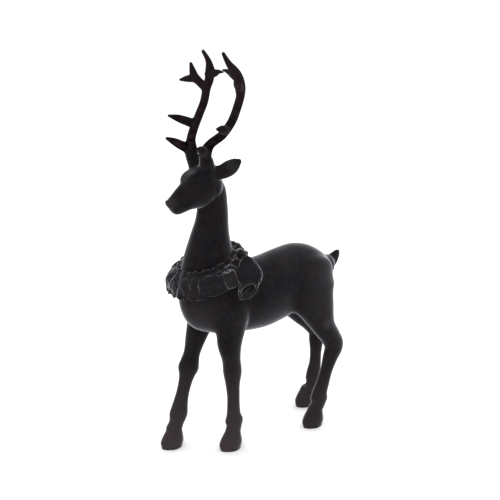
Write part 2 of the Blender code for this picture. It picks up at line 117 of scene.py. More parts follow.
# Ear: centre line (ahead, out, up), half the width and the thickness, and how far its edges curl
# forward
EAR = (
    (-12, 9.5, 318.4, 7.5, 6, 0),
    (-17.8, 16, 319.6, 8.4, 3.6, 2),
    (-22.3, 23.2, 324.2, 8.7, 2.4, 3.6),
    (-26, 29.8, 329.8, 6.4, 2.1, 2.4),
    (-28.2, 33.8, 333, 3.8, 1.8, 0.7),
    (-29.2, 35.2, 334.2, 2.5, 1.5, 0.2),
)
EAR_FACES = (0.75, 0.65, -0.1)
# Line of the closed eyelid: (ahead, up, out)
EYELID = (
    (9.6, 312.9, 12),
    (7, 314.4, 12.4),
    (4, 315, 13),
    (1.5, 314.4, 14),
)
# Joints of the face to be filled: on each side (ahead, up, out), and on the mid-plane (ahead, up)
FACE_JOINTS = (
    (8, 316, 11),
    (14, 311, 10),
    (2, 318, 13),
    (-5, 314, 14),
    (-12, 322, 9),
    (-13, 312, 13),
)
CROWN_JOINTS = ((2, 322), (-8, 322), (12, 315))
NOSE_TIP = (38, 284)

# Pedicle: centre line (ahead, out, up) and radius. Its flat top is the seat of the antler
PEDICLE = (
    (-5.4, 7, 315, 10),
    (-4.2, 9.3, 325, 8.8),
    (-2.2, 11, 334, 7.5),
    (-1.6, 11.8, 340, 7.2),
)
SEAT = (-1.2, 11.3, 337)
SEAT_RISE = (-0.15, 0.4, 0.9)
SEAT_REACH = 12
SEAT_GAP = 0.3

# Antler: each branch is a centre line (ahead, out, up) and its radius, round from BRANCH_SIDE
BRANCH_SIDE = (1, 0.2, 0.1)
ANTLER = {
    "beam": (
        (-1, 11, 335, 6.9),
        (-1, 11.8, 341, 6.9),
        (-3.4, 18.5, 351.5, 5.1),
        (-11.8, 29, 362.3, 4.8),
        (-19.7, 34.5, 375.8, 4.6),
        (-25.8, 36, 391, 4.5),
        (-28.8, 38, 405, 4.6),
        (-29.6, 35.5, 415, 5.0),
        (-27.3, 31, 424.5, 5.3),
        (-21.2, 25.9, 435.5, 3.2),
        (-14.6, 27.2, 445.2, 1.9),
    ),
    "brow tine": (
        (-1, 13, 341.6, 5.3),
        (5, 18.8, 344.2, 5.2),
        (12, 25.6, 347.8, 4.2),
        (18.6, 31.8, 350.6, 1.8),
    ),
    "second tine": (
        (-13, 33, 367.2, 5.2),
        (-6.9, 40.2, 369.2, 4.9),
        (-0.2, 46.5, 371.2, 3.9),
        (7.6, 51.6, 372.8, 1.5),
    ),
    "fork stem": (
        (-27.5, 38, 405, 4.2),
        (-22.8, 44.6, 411.6, 4.6),
        (-19.1, 48.8, 416, 4.9),
        (-16.8, 50.8, 423, 3.6),
        (-14.8, 52.2, 430.2, 1.7),
    ),
    "fork tine": (
        (-19.4, 48.8, 415, 4.6),
        (-14.4, 57.3, 413.2, 3.7),
        (-10.1, 63.9, 411.3, 1.6),
    ),
    "crown tine": (
        (-27.7, 33, 421, 5.2),
        (-28.3, 23, 423.3, 4.3),
        (-27.5, 13.5, 425.4, 2.4),
        (-27.5, 4.4, 426, 1.0),
    ),
}
# The right antler is the left one mirrored, leaning further back and set further ahead
FOOT = (-1, 12, 338.5)
RIGHT_LEAN = np.radians(6.2)
RIGHT_AHEAD = 4.2

# Legs, from the shoulder or haunch down to the coronet: centre line (x, y, z), and half the width
# and the depth
LEFT_FORELEG = (
    (19, -46, 188, 12, 26),
    (22, -49, 165, 13.5, 22),
    (22.5, -52.6, 144, 13, 18),
    (22, -54.2, 126, 11.8, 15),
    (21.5, -51.8, 107, 9.8, 11),
    (21, -49.8, 91, 9.4, 11.1),
    (21, -49.6, 77, 7.6, 8.7),
    (21, -48.7, 62, 6.5, 7.6),
    (21, -48.6, 48, 6.6, 7.8),
    (21, -48.4, 39, 7, 8.8),
    (21, -47.9, 32, 8.3, 11.2),
    (21, -48, 25, 7.6, 9.4),
    (21, -49.6, 19, 7.8, 9.4),
)
RIGHT_FORELEG = (
    (-19, -48, 188, 12, 26),
    (-22, -53, 165, 13.5, 22),
    (-23.5, -60, 144, 13, 17.5),
    (-24, -66.9, 126, 11.8, 13),
    (-24.5, -72.8, 107, 9.2, 9.8),
    (-24, -76.3, 97, 9.4, 11.4),
    (-24, -78.7, 89, 9.5, 13),
    (-24, -81.2, 80, 8, 9.6),
    (-24, -83.6, 72, 7, 8.2),
    (-24, -87.3, 60, 6.6, 8),
    (-24, -90.6, 48, 7, 9.6),
    (-24, -93.4, 36.5, 8.2, 11.4),
    (-24, -96.6, 26.5, 7.5, 9),
    (-24, -100, 19, 7.8, 10.2),
)
LEFT_HINDLEG = (
    (17, 67.5, 192, 14.5, 32),
    (21, 64.5, 166, 17, 35),
    (26, 71, 142, 15.5, 23.6),
    (29, 78.7, 121, 12, 15.2),
    (30, 89.3, 105, 9.6, 12.8),
    (30, 95, 92, 8.8, 13),
    (30, 89.4, 78, 7.8, 10),
    (30.5, 83.2, 63, 6.5, 8.1),
    (31, 77.6, 49, 6.8, 8.6),
    (31.3, 73.2, 39, 7.6, 9.8),
    (31.5, 71.4, 31, 8.3, 11.4),
    (31.5, 70, 24.5, 7.4, 9),
    (31.5, 66, 18.5, 7.6, 8.8),
)
RIGHT_HINDLEG = (
    (-17, 70, 192, 14.5, 31),
    (-21, 70, 166, 17, 34),
    (-25, 80.5, 142, 15.5, 25.5),
    (-26, 93.8, 121, 12, 17.6),
    (-26, 106.4, 105, 9.4, 12.6),
    (-26, 116.4, 92, 8.6, 11.6),
    (-25.2, 116, 78, 7.8, 9.9),
    (-24.2, 114.5, 63, 6.5, 7.7),
    (-23, 112.6, 49, 6.8, 8),
    (-22.2, 109.9, 39.5, 7.6, 9.4),
    (-21.5, 108.7, 31.5, 8.2, 10.6),
    (-21.2, 107.3, 24, 7.2, 8.6),
    (-21, 104, 17.5, 7.6, 8.8),
)

# Hoof: height, how far its middle lies ahead of the sole's middle, half the width, half the length
HOOF = (
    (23, -3.2, 6.8, 7.8),
    (17.5, -2.8, 8.9, 10.2),
    (11.5, -1.2, 10.4, 12.9),
    (6, -0.2, 10.9, 14.6),
    (2, 0, 10.3, 13.8),
    (-5, 0.2, 8.8, 11.8),
)
HOOF_POINT = 0.35
CORONET = 21
SOLE_MIDDLES = ((21, -53.5), (-24, -103.4), (31.5, 61.4), (-21, 94.6))

# Tail: the line of its top (y, z), the line of its underside (y, z), and half the width
TAIL = (
    (94, 190, 96, 174, 7),
    (104, 193, 106, 173.5, 6.6),
    (112, 195.4, 113, 175.5, 6),
    (118.5, 197.6, 118.8, 178.8, 5.2),
    (123, 199.4, 122.8, 182.6, 4.2),
    (126, 199.3, 126, 187.6, 2.6),
)

# Joints of the body to be filled: breast to shoulders, shoulders and haunches to the trunk
BODY_JOINTS = (
    (30, -68, 165), (30, -68, 145), (-30, -74, 160), (30, -50, 190), (-30, -52, 190),
    (32, 40, 185), (-32, 40, 185), (34, 36, 160), (-34, 38, 160),
    (26, 70, 200), (-26, 70, 200), (8, -52, 140), (-8, -56, 140), (8, 70, 145), (-8, 76, 145),
)
# Joints of the tail and the rump
TAIL_ROOT = ((8, 112, 185), (-8, 112, 185), (7, 108, 192), (-7, 108, 192))

# Collar: a gathered band between two lines round the neck, its neck edge and its hem. Each line:
# its place fore and aft and its height, each as a level, a share of the sine of the turn and a
# share of its square. The turn is 0 at the left and a quarter behind
NECK_LINE = ((-73, 30.5, 3), (220, 9.9, 3.6))
HEM_LINE = ((-65, 43.5, -2.5), (203, 21, 3))
# Under the collar, where head and body part: a point of the seam and the direction square to it
SEAM = (0, -71, 213)
SEAM_RISE = np.array([0, -0.485, 0.875])

# Bow on the left shoulder. Knot: its middle, which way it stands and faces, and half its width,
# height and depth
KNOT = (46.3, -71.5, 209.8)
KNOT_RISE = (-0.22, -0.29, 0.93)
KNOT_OUT = (0.88, -0.35, 0.1)
KNOT_SIZE = (7.2, 8.9, 6.6)
# The power its cosines and sines are raised to: the lower, the squarer
KNOT_SQUARENESS = 0.4
KNOT_RINGS = 33
# Rear loop: the middle of each ring and its two half-axes (x, y, z), from the closed top to the rim
# of the mouth, then inside
REAR_LOOP = (
    (43.8, -48.8, 231, 1.2, 2, 0.4, 1.4, -1, 0.5),
    (45.2, -48.4, 226.4, 3.6, 5.8, 1.2, 4, -2.3, 1),
    (47.4, -46.4, 218.2, 6, 9.2, 1.3, 6.2, -3.4, 0),
    (50.2, -46.4, 207.2, 6.8, 10.6, 3, 6.5, -4, 1.5),
    (53, -50.3, 199.7, 6, 10.2, 4.6, 4.2, -4.8, 4.5),
    (54.5, -53.8, 194, 4.9, 9, 6, 0.6, -5, 7.4),
    (54, -53.3, 195.2, 3.9, 7.3, 4.9, 0.6, -3.8, 5.7),
    (52, -51.3, 198.7, 3.6, 6.4, 3.6, 2, -2.5, 3.5),
    (50, -49.8, 202.7, 2.2, 4, 2.2, 1.3, -1.3, 1.5),
)
# Pinch between knot and rear loop: centre line (x, y, z), half the height and half the thickness
PINCH = (
    (43.5, -68, 210, 5, 3.6),
    (44, -60, 210, 5, 3.8),
    (46, -51, 211, 8, 4.6),
)
# Front loop, lying forward on the collar: the same
FRONT_LOOP = (
    (43.5, -76, 209, 5.5, 2.8),
    (41, -86, 206.8, 9.3, 2.9),
    (35.5, -95, 204.8, 9.6, 2.5),
    (30.5, -100.5, 204, 7, 1.7),
)
RIBBON_RISE = (0.1, 0.2, 1)
# A fold of ribbon standing inside the mouth of the rear loop: the same, and the way the mouth opens
MOUTH_FOLD = (
    (47.2, -59.4, 189.6, 2.4, 0.6),
    (49.6, -55.2, 193.7, 3.2, 0.65),
    (51.7, -52.1, 197, 3.2, 0.65),
    (53.8, -48.4, 200.6, 2.4, 0.6),
)
MOUTH_OUT = (0.91, -0.31, -0.28)
# Joints of the collar to be softened: along the front loop and round the knot
COLLAR_JOINTS = ((28, -103, 205), (33, -99, 205), (38, -94, 205), (43, -86, 206))
# A small hollow where the rear loop meets the gathers
HOLLOW = ((31, -47.5, 226.8), (32.5, -47.5, 226.5), (34, -47.4, 226))
# Pleats down the front loop
LOOP_PLEATS = (
    ((34.5, -99, 213), (36, -98.5, 205), (36.5, -98, 195)),
    ((42, -91, 214), (43.5, -90.5, 206), (43.5, -90, 197)),
    ((20, -107, 211), (21.5, -108, 202), (22, -108, 192)),
)

# Collar section: how far along the band from neck to hem (0 to 1), and half the thickness there, as
# a share of the puff
COLLAR_SECTION = (
    (0.00, 0.18), (0.07, 0.30), (0.14, 0.20), (0.21, 0.26), (0.32, 0.76), (0.50, 1.00),
    (0.69, 0.86), (0.82, 0.46), (0.89, 0.24), (0.94, 0.27), (1.00, 0.17),
)
BAND_TURNS = 720
SECTION_STEPS = 3
# Waves round the collar: the height of each, how many go round, and where it starts. They shift the
# gathers along the band, slant them from neck to hem, make some deeper than others, and shift the
# finer waves
GATHER_WANDER = ((0.9, 3, 0), (0.6, 5, 1), (0.5, 7, 2))
GATHER_SLANT = ((0.7, 4, 3),)
GATHER_DEPTHS = ((0.35, 2, 1), (0.3, 9, 0))
FINE_WANDER = ((1.3, 2, 0),)
# The gathers: how deep they are as a share of the thickness, and the power that rounds their crests
GATHER_DEPTH = 0.4
CREST_POWER = 0.8
# Thickness between the gathers, above and below, and how much the gathers add below
TOP_LEVEL = 0.72
UNDER_LEVEL = 0.75
UNDER_DEPTH = 0.15
# Hem and frill: where on the section each starts, and the power by which the hem sets in
HEM_FROM = 0.6
HEM_POWER = 1.5
FRILL_TO = 0.22
# How far gathers and finer waves push them along the section, as shares of the band's width
HEM_REACHES = (0.045, 0.017)
FRILL_REACHES = (0.02, 0.01)
# How far gathers and finer waves lift them, in millimetres, and how far on from the gathers
HEM_LIFTS = (1.2, 0.5, 0.7)
FRILL_LIFTS = (0.7, 0.3, 0)
# One gather stands out further than the rest: its place round the collar, its width and its height
PROUD_GATHER = 4.09
PROUD_GATHER_REACH = 0.13
PROUD_GATHER_BY = 2.6

# Rounds of smoothing: the collar as it is fused and once it is crumpled, and the antlers
COLLAR_SMOOTHING = 1
CRUMPLE_SMOOTHING = 2
ANTLER_SMOOTHING = 2
# The two steps of a round: in towards the neighbours' mean, then part of the way back out
SMOOTHING_STEPS = (0.5, -0.35)

# Filling of joints: how far it reaches, in millimetres, and its rounds
BODY_FILL = (20, 150)
CORONET_FILL = (8, 20)
TAIL_FILL = (7, 160)
FACE_FILL = (13, 220)
NOSE_FILL = (6, 60)
COLLAR_FILL = (9, 60)
ANTLER_FILL = (7, 140)
# The share of each step that a point takes, and how much of it ridges sink, on ribbon far more
FILL_STEP = 0.5
RIDGES_SINK = 0.12
RIBBON_SINKS = 0.9
# Nearness to a joint is raised by this much, so that it is full all round the joint
NEAR_SHARE = 1.6
# The least share that counts, and the rounds between fresh normals
LEAST_SHARE = 0.02
FRESH_NORMALS = 20

# Grooves: how deep and half how wide, in millimetres
EYELID_GROOVE = (0.7, 0.9)
PLEAT_GROOVE = (1.3, 2.4)
HOLLOW_GROOVE = (3, 2)
# Points to each span of a groove or brushed line, and the reaches past which a bell is nothing
LINE_STEPS = 8
BELL_ENDS = 3
# Crumple of the collar and bow: the height and length of each size of lump, in millimetres
CRUMPLES = ((1.4, 9), (0.8, 4.5))
CRUMPLE_SEED = 8
# Lumps: how many waves are summed, and the spread of their wave numbers
LUMP_WAVES = 9
LUMP_SPREAD = (0.7, 1.4)

# Painted sheen on the bow's edges: round the mouth of the rear loop, and along the crest of the
# fold in it
MOUTH_RIM = (
    (59.4, -44.8, 200), (58.4, -51, 203.5), (55.1, -58.8, 201.4),
    (51.5, -63.7, 195), (49.6, -62.8, 188), (50.6, -56.6, 184.5),
    (53.9, -48.8, 186.6), (57.5, -43.9, 193), (59.4, -44.8, 200),
)
MOUTH_CREST = ((50.2, -60.2, 188.7), (53.4, -54.2, 195.3), (56, -49.2, 199.9))
# Unevenness of the nap, broad and fine: its height, its length in millimetres and its seed
NAP_LUMPS = ((0.14, 34, 5), (0.1, 11, 6))
# Lighter patches, of raised nap and of painted light: the place (x, y, z) or line, how far it
# reaches and how much
BODY_NAP_AND_SHEEN = (
    ((14, -97, 168), 24, 0.52),
    ((10, -88, 150), 14, 0.3),
    ((34, -50, 160), 16, 0.16),
    ((41, 75, 126), 5.5, 1.3),
    ((38, 72, 150), 28, 0.42),
    # Painted sheen on the rump and the back, which are lighter where they turn from the view
    ((31, 77, 189), 24, 0.45),
    ((0, 34, 216), 30, 0.55),
    ((-24, -66, 126), 16, 0.35),
)
# Painted light on the head: bounce light on the nose, sheen on both ears, and shade in the left
# ear's hollow
HEAD_PAINTED_LIGHT = (
    ((-1, -115, 290), 7, 0.85),
    ((29, -57, 327), 10, 0.55),
    ((25, -59.6, 322.6), 5, -0.35),
    ((-29, -57, 327), 10, 0.35),
)
COLLAR_NAP_AND_SHEEN = (
    ((48, -74, 210), 9, 0.3),
    ((0, -105, 205), 24, 0.3),
    ((54, -54, 194), 8.5, 0.8),
    # Painted sheen along the mouth's rim and the fold's crest
    (MOUTH_RIM, 1.3, 1),
    (MOUTH_CREST, 1.2, 0.9),
    ((30, -95, 205), 34, 0.2),
    ((52, -48, 216), 14, 0.3),
)
# Painted sheen on the left antler's brow tine, seen end on, and at its root: it is painted grey
ANTLER_PAINTED_SHEEN = (
    ((22, -89, 346.5), 7, 0.8),
    ((17, -84, 343), 6, 0.4),
)
# Painted bounce light from the floor: the legs are painted lighter below this height
FLOOR_LIGHT_FROM = 118
# The share of that painted light taken off on the left and the right hind leg, and the places (y)
# where that sets in
FLOOR_LIGHT_CUT_BEHIND = (0.45, 0.15)
BEHIND_FROM, BEHIND_TO = -20, 20

# Cloudy patches of colour: their size in metres, and where in the noise they start and are full
BROWN_CLOUDS = (0.02, 0.4, 0.6)
FLECK_CLOUDS = (0.0045, 0.35, 0.7)
RUBBED_CLOUDS = (0.006, 0.42, 0.6)
CLOUD_DETAIL = 3
CLOUD_ROUGHNESS = 0.55
# Heights in metres between which the antlers pale, up the beam and down to the pedicle
BEAM_PALES = (0.35, 0.4)
FOOT_PALES = (0.346, 0.338)
# Relief of the flock, brushed patches and then pile: the noise's scale, detail and roughness, and
# the bump's strength and its height in metres
FLOCK_RELIEF = (
    (130, 2, 0.5, 0.3, 0.0006),
    (900, 3, 0.6, 0.35, 0.0004),
)
# Sockets of a colour mix: its share, its two colours and the blended colour
MIX_SHARE, MIX_ONE, MIX_OTHER = 0, 6, 7
MIX_RESULT = 2
# Gloss of the flock, the tint of its sheen, and how far the antlers' sheen spreads
FLOCK_ROUGHNESS = 0.9
FLOCK_SPECULAR = 0.02
VELVET_TINT = (0.95, 0.93, 1.0)
ANTLER_TINT = (1.0, 0.9, 0.93)
ANTLER_SPREAD = 0.3

# Stage. Lamps: where each stands, how wide it is, in metres, and its power
LAMPS = {
    "key": ((1.0, -1.6, 1.7), 1.2, 14),
    "fill": ((-1.5, -0.8, 1.2), 1.4, 7),
    "back": ((-0.6, 1.6, 1.6), 1.4, 14),
}
ROOM_LIGHT = 1.15
FLOOR_RINGS = 12
FLOOR_SIDES = 96
FLOOR_ROUGHNESS = 0.8
FLOOR_SPECULAR = 0.1
CLIP_END = 100


def length_setting(name, description, default, **limits):
    """A property that holds a length in metres."""
    return FloatProperty(
        name=name, description=description, default=default, unit="LENGTH", **limits)


def colour_setting(name, description, default):
    """A property that holds a colour."""
    return FloatVectorProperty(
        name=name, description=description, default=default, min=0, max=1, subtype="COLOR")


def share_setting(name, description, default, least=0):
    """A property that holds a share of one."""
    return FloatProperty(
        name=name, description=description, default=default, min=least, max=1, subtype="FACTOR")


class StagCasting(bpy.types.PropertyGroup):
    body_grid: length_setting(
        "Body grid", "Fineness at which the body is fused",
        0.00115, min=0.0008, max=0.003, precision=5)
    head_grid: length_setting(
        "Head grid", "Fineness at which the head and neck are fused",
        0.00065, min=0.0005, max=0.002, precision=5)
    collar_grid: length_setting(
        "Collar grid", "Fineness at which the collar and bow are fused",
        0.0006, min=0.0004, max=0.002, precision=5)
    antler_grid: length_setting(
        "Antler grid", "Fineness at which an antler is fused",
        0.0005, min=0.0004, max=0.002, precision=5)
    softness: IntProperty(
        name="Softness", description="Rounds of smoothing on the body and the head",
        default=3, min=0, max=20)


class CollarSizes(bpy.types.PropertyGroup):
    neck_reach: length_setting(
        "Neck edge", "From the middle of the neck to the collar's neck edge, sideways", 0.0255)
    hem_reach: length_setting(
        "Hem", "From the middle of the neck to the collar's hem, sideways", 0.049)
    puff: length_setting("Puff", "Half the thickness of the band", 0.0052)
    gathers: IntProperty(
        name="Gathers", description="Folds round the collar", default=17, min=5, max=40)


class FlockFinish(bpy.types.PropertyGroup):
    velvet: colour_setting(
        "Velvet", "Colour of the flock on the body", (0.0040, 0.0039, 0.0053))
    brown_velvet: colour_setting(
        "Brown velvet", "Colour of its browner patches", (0.0080, 0.0050, 0.0056))
    brushed_fleck: colour_setting(
        "Flecks", "Colour of its small lighter flecks", (0.0098, 0.0090, 0.0105))
    # The lighter colour of raised nap, also painted on as sheen and as bounce light
    brushed_and_lit: colour_setting(
        "Brushed velvet", "Colour where the nap is brushed up", (0.025, 0.0225, 0.025))
    # Colour of the painted bounce light from the floor, lighter towards the hooves
    floor_light_colour: colour_setting(
        "Painted floor light", "Colour towards the hooves, where the flock is thin", (0.036, 0.0285, 0.030))
    antler: colour_setting(
        "Antler flock", "Colour of the flock on the antlers", (0.0105, 0.0068, 0.0082))
    antler_base: colour_setting(
        "Antler base", "Colour of the flock low on the antlers", (0.0012, 0.0005, 0.0009))
    antler_rubbed: colour_setting(
        "Rubbed antler", "Colour of the antlers' small rubbed patches", (0.0130, 0.0082, 0.0098))
    sheen: share_setting(
        "Sheen", "How much the pile glows where it is seen edge on", 0.9)
    sheen_roughness: share_setting(
        "Pile spread", "How far the glow of the pile spreads in from the edges", 0.32, 0.05)
    antler_sheen: share_setting(
        "Antler sheen", "The same glow on the antlers, which are rubbed", 0.06)


class StageSettings(bpy.types.PropertyGroup):
    target: FloatVectorProperty(
        name="Looks at", description="The point the camera looks at",
        default=(0.0239, -0.0335, 0.2316), subtype="TRANSLATION", unit="LENGTH")
    azimuth: FloatProperty(
        name="Round", description="How far round to the stag's left the camera stands",
        default=np.radians(52), subtype="ANGLE")
    elevation: FloatProperty(
        name="Up", description="How steeply the camera looks down",
        default=np.radians(15.5), subtype="ANGLE")
    distance: length_setting("Distance", "From the camera to the point it looks at", 1.2)
    lens: FloatProperty(name="Lens", description="Focal length in millimetres", default=78.77)
    floor_radius: length_setting("Floor", "Radius of the floor", 20)
    floor_colour: colour_setting("Floor colour", "Colour of the floor", (0.93, 0.93, 0.93))


def unit(vector):
    """The vector scaled to length one; rows are scaled one by one."""
    vector = np.asarray(vector, float)
    return vector / np.linalg.norm(vector, axis=-1, keepdims=True)


def through(stations, per_span=RINGS_PER_SPAN):
    """Rows read from a Catmull-Rom curve through the stations, per_span rows to each span.

    The curve's slope at a station is half the step from the one before it to the one after it.
    """
    rows = np.asarray(stations, float)
    padded = np.vstack([2 * rows[0] - rows[1], rows, 2 * rows[-1] - rows[-2]])
    place = np.linspace(0, len(rows) - 1, (len(rows) - 1) * per_span + 1)
    span = np.minimum(place.astype(int), len(rows) - 2)
    t = (place - span)[:, None]
    a, b, c, d = (padded[span + k] for k in range(4))
    bend, twist = 2 * a - 5 * b + 4 * c - d, 3 * b - a - 3 * c + d
    return 0.5 * (2 * b + (c - a) * t + bend * t**2 + twist * t**3)


def close_rings(rings, first_pole, last_pole):
    """Points and faces of a run of rings, closed by a pole at each end.

    Quad (i, j) joins rings i and i + 1 between sides j and j + 1; each end is a fan of triangles.
    """
    count, sides = rings.shape[:2]
    points = np.vstack([rings.reshape(-1, 3), first_pole, last_pole])
    step = np.arange(sides)
    after = np.roll(step, -1)
    rows = np.arange(count - 1)[:, None] * sides
    next_rows = rows + sides
    quads = np.stack([rows + step, rows + after, next_rows + after, next_rows + step], axis=-1)
    first, last = count * sides, count * sides + 1
    end_ring = (count - 1) * sides
    fans = [np.stack([np.full(sides, first), after, step], axis=-1)]
    fans += [np.stack([np.full(sides, last), end_ring + step, end_ring + after], axis=-1)]
    return points, quads.reshape(-1, 4).tolist() + np.vstack(fans).tolist()


def skin(centre, across, upright, curl=None):
    """A closed tube: each ring is centre + across * cos + upright * sin, and round caps end it.

    curl bends the section into a crescent: it adds curl * cos squared along the upright direction.
    """
    ease = np.linspace(0, np.pi / 2, CAP_RINGS + 1)[1:-1]
    reach = min(np.linalg.norm(across[0]), np.linalg.norm(upright[0]))
    far_reach = min(np.linalg.norm(across[-1]), np.linalg.norm(upright[-1]))
    start = unit(centre[0] - centre[1]) * reach
    end = unit(centre[-1] - centre[-2]) * far_reach
    shrink = np.cos(ease)[:, None]
    out = np.sin(ease)[:, None]
    middles = np.vstack([(centre[0] + out * start)[::-1], centre, centre[-1] + out * end])
    sides = np.vstack([(shrink * across[0])[::-1], across, shrink * across[-1]])
    tops = np.vstack([(shrink * upright[0])[::-1], upright, shrink * upright[-1]])
    angle = np.linspace(0, 2 * np.pi, RING_SIDES, endpoint=False)[None, :, None]
    rings = middles[:, None] + sides[:, None] * np.cos(angle) + tops[:, None] * np.sin(angle)
    if curl is not None:
        caps = np.full(len(ease), curl[0]), np.full(len(ease), curl[-1])
        bend = np.concatenate([caps[0], curl, caps[1]])
        rings += unit(tops)[:, None] * bend[:, None, None] * np.cos(angle) ** 2
    return close_rings(rings, centre[0] + start, centre[-1] + end)


def profile_rings(stations, place):
    """Ring centres and half-axes that span a line above and a line below, with a half width."""
    rows = through(stations)
    above, below = place(rows[:, 0], rows[:, 1]), place(rows[:, 2], rows[:, 3])
    side = place(0, 0, 1) - place(0, 0)
    return (above + below) / 2, rows[:, 4:5] * side, (above - below) / 2


def limb_skin(centres, wide, deep, side, curl=None):
    """A skin round a centre line; the half widths lie along side, made square to the line."""
    line = unit(np.gradient(centres, axis=0))
    side = np.broadcast_to(np.asarray(side, float), centres.shape)
    across = unit(side - np.sum(side * line, axis=1, keepdims=True) * line)
    return skin(centres, across * wide[:, None], np.cross(line, across) * deep[:, None], curl)


def body_place(y, z, x=0):
    """A point of the body's side view, x to the left of the mid-plane."""
    y, z, x = np.broadcast_arrays(y, z, x)
    return np.stack([x, y, z], axis=-1).astype(float)


def head_place(ahead, up, out=0):
    """A point of the head: ahead of the poll, out to the left of its mid-plane, and its height."""
    ahead, up, out = np.broadcast_arrays(ahead, up, out)
    x = ahead * np.sin(HEAD_TURN) + out * np.cos(HEAD_TURN)
    y = POLL_Y - ahead * np.cos(HEAD_TURN) + out * np.sin(HEAD_TURN)
    return np.stack([x, y, up], axis=-1).astype(float)


def head_direction(vector, hand):
    """A direction (ahead, out, up) of the head, mirrored for the right hand."""
    ahead, out, up = vector
    return head_place(ahead, up, out * hand) - head_place(0, 0)


def trunk():
    """Body and neck: rings from the line of the back to the line of the breast and belly."""
    return skin(*profile_rings(TRUNK, body_place))


def neck():
    """The trunk's rings from the withers up."""
    first = NECK_FROM * RINGS_PER_SPAN
    return skin(*(axis[first:] for axis in profile_rings(TRUNK, body_place)))


def head():
    """Skull and muzzle: rings from the line of the brow and nose to the line of the jaw."""
    return skin(*profile_rings(HEAD, head_place))


def brow(side):
    """An egg-shaped swelling, its half-axes shrunk to its ends as a circle's are.

    It is over the left eye with side LEFT, over the right with RIGHT, and between them with 0.
    """
    ahead, out, up = BROW
    middle = head_place(ahead, up, out * side)
    long, wide, tall = BROW_SIZE
    reach = np.linspace(-BROW_ENDS, BROW_ENDS, BROW_RINGS)
    swell = np.sqrt(1 - reach**2)
    centres = middle + reach[:, None] * long * head_direction(BROW_LINE, LEFT)
    return limb_skin(centres, wide * swell, tall * swell, head_direction((0, 1, 0), LEFT))


def ear(hand):
    """A leaf-shaped ear, hollow in front: its oval section is bent into a crescent.

    The hollow of the crescent faces EAR_FACES.
    """
    rows = through(EAR)
    centres = head_place(rows[:, 0], rows[:, 2], rows[:, 1] * hand)
    line = unit(centres[-1] - centres[0])
    faces = unit(head_direction(EAR_FACES, hand))
    broad = np.cross(line, faces)
    return limb_skin(centres, rows[:, 3], rows[:, 4], broad, rows[:, 5])


def antler_place(ahead, out, up, hand):
    """A point of an antler, its pedicle or its seat, with the right one's lean."""
    if hand == RIGHT:
        foot_ahead, _, foot_up = FOOT
        behind, above = ahead - foot_ahead, up - foot_up
        turn_cos, turn_sin = np.cos(RIGHT_LEAN), np.sin(RIGHT_LEAN)
        ahead = foot_ahead + behind * turn_cos - above * turn_sin + RIGHT_AHEAD
        up = foot_up + above * turn_cos + behind * turn_sin
    return head_place(ahead, up, out * hand)


def pedicle(hand):
    """A horn stump: its foot belongs to the skull, and its top follows the antler it carries."""
    rows = through(PEDICLE)
    ahead, out, up = rows[:, 0], rows[:, 1], rows[:, 2]
    follow = np.clip((up - up[0]) / (SEAT[2] - up[0]), 0, 1)[:, None]
    on_skull, on_antler = head_place(ahead, up, out * hand), antler_place(ahead, out, up, hand)
    centres = (1 - follow) * on_skull + follow * on_antler
    return limb_skin(centres, rows[:, 3], rows[:, 3], head_direction(BRANCH_SIDE, hand))


def round_branch(stations, hand):
    """A branch of an antler: a round tube through its stations."""
    rows = through(stations)
    centres = antler_place(rows[:, 0], rows[:, 1], rows[:, 2], hand)
    return limb_skin(centres, rows[:, 3], rows[:, 3], head_direction(BRANCH_SIDE, hand))


def branch_roots(hand):
    """Where each branch leaves the antler."""
    roots = [station[:3] for branch in ANTLER.values() for station in branch[:2]]
    return [antler_place(*root, hand) for root in roots]


def seat(hand):
    """The middle of an antler's seat, and the direction square to it."""
    middle = antler_place(*SEAT, hand)
    above = antler_place(*(np.array(SEAT) + SEAT_RISE), hand)
    return middle, unit(above - middle)


def leg(stations):
    """A leg down to the coronet, with half the width and half the depth at each station."""
    rows = through(stations)
    return limb_skin(rows[:, :3], rows[:, 3], rows[:, 4], (1, 0, 0))


def hoof(middle):
    """Level rings from the coronet to just under the ground, drawn to a blunt point in front."""
    rows = through(HOOF)
    x, y = middle
    angle = np.linspace(0, 2 * np.pi, RING_SIDES, endpoint=False)
    width = np.cos(angle) * (1 - HOOF_POINT * np.clip(-np.sin(angle), 0, 1) ** 2)
    rings = np.empty((len(rows), RING_SIDES, 3))
    rings[:, :, 0] = x + rows[:, 2:3] * width
    rings[:, :, 1] = y - rows[:, 1:2] + rows[:, 3:4] * np.sin(angle)
    rings[:, :, 2] = rows[:, 0:1]
    return close_rings(rings[::-1], rings[-1].mean(axis=0), rings[0].mean(axis=0))


def tail():
    """A short upright tail, deep at its root: rings from the line of its top to its underside."""
    return skin(*profile_rings(TAIL, body_place))


def ring_quads(count, sides):
    """Quads of a closed ring of closed sections, count round by sides along each section."""
    step, after = np.arange(sides), np.roll(np.arange(sides), -1)
    row = np.arange(count)[:, None] * sides
    next_row = np.roll(row, -1, axis=0)
    quads = np.stack([row + after, next_row + after, next_row + step, row + step], axis=-1)
    return quads.reshape(-1, 4).tolist()


def round_neck(reach, line, turn):
    """A line round the neck: sideways by the turn's cosine, fore and aft and up by its sine."""
    back, up = line
    sine = np.sin(turn)
    terms = (reach * np.cos(turn), back[0] + back[1] * sine + back[2] * sine**2)
    return np.stack([*terms, up[0] + up[1] * sine + up[2] * sine**2], axis=-1)


def waves(turn, terms, level=0):
    """A level and a sum of waves round the collar: height * sine of (count * turn + start)."""
    return sum((height * np.sin(count * turn + start) for height, count, start in terms), level)


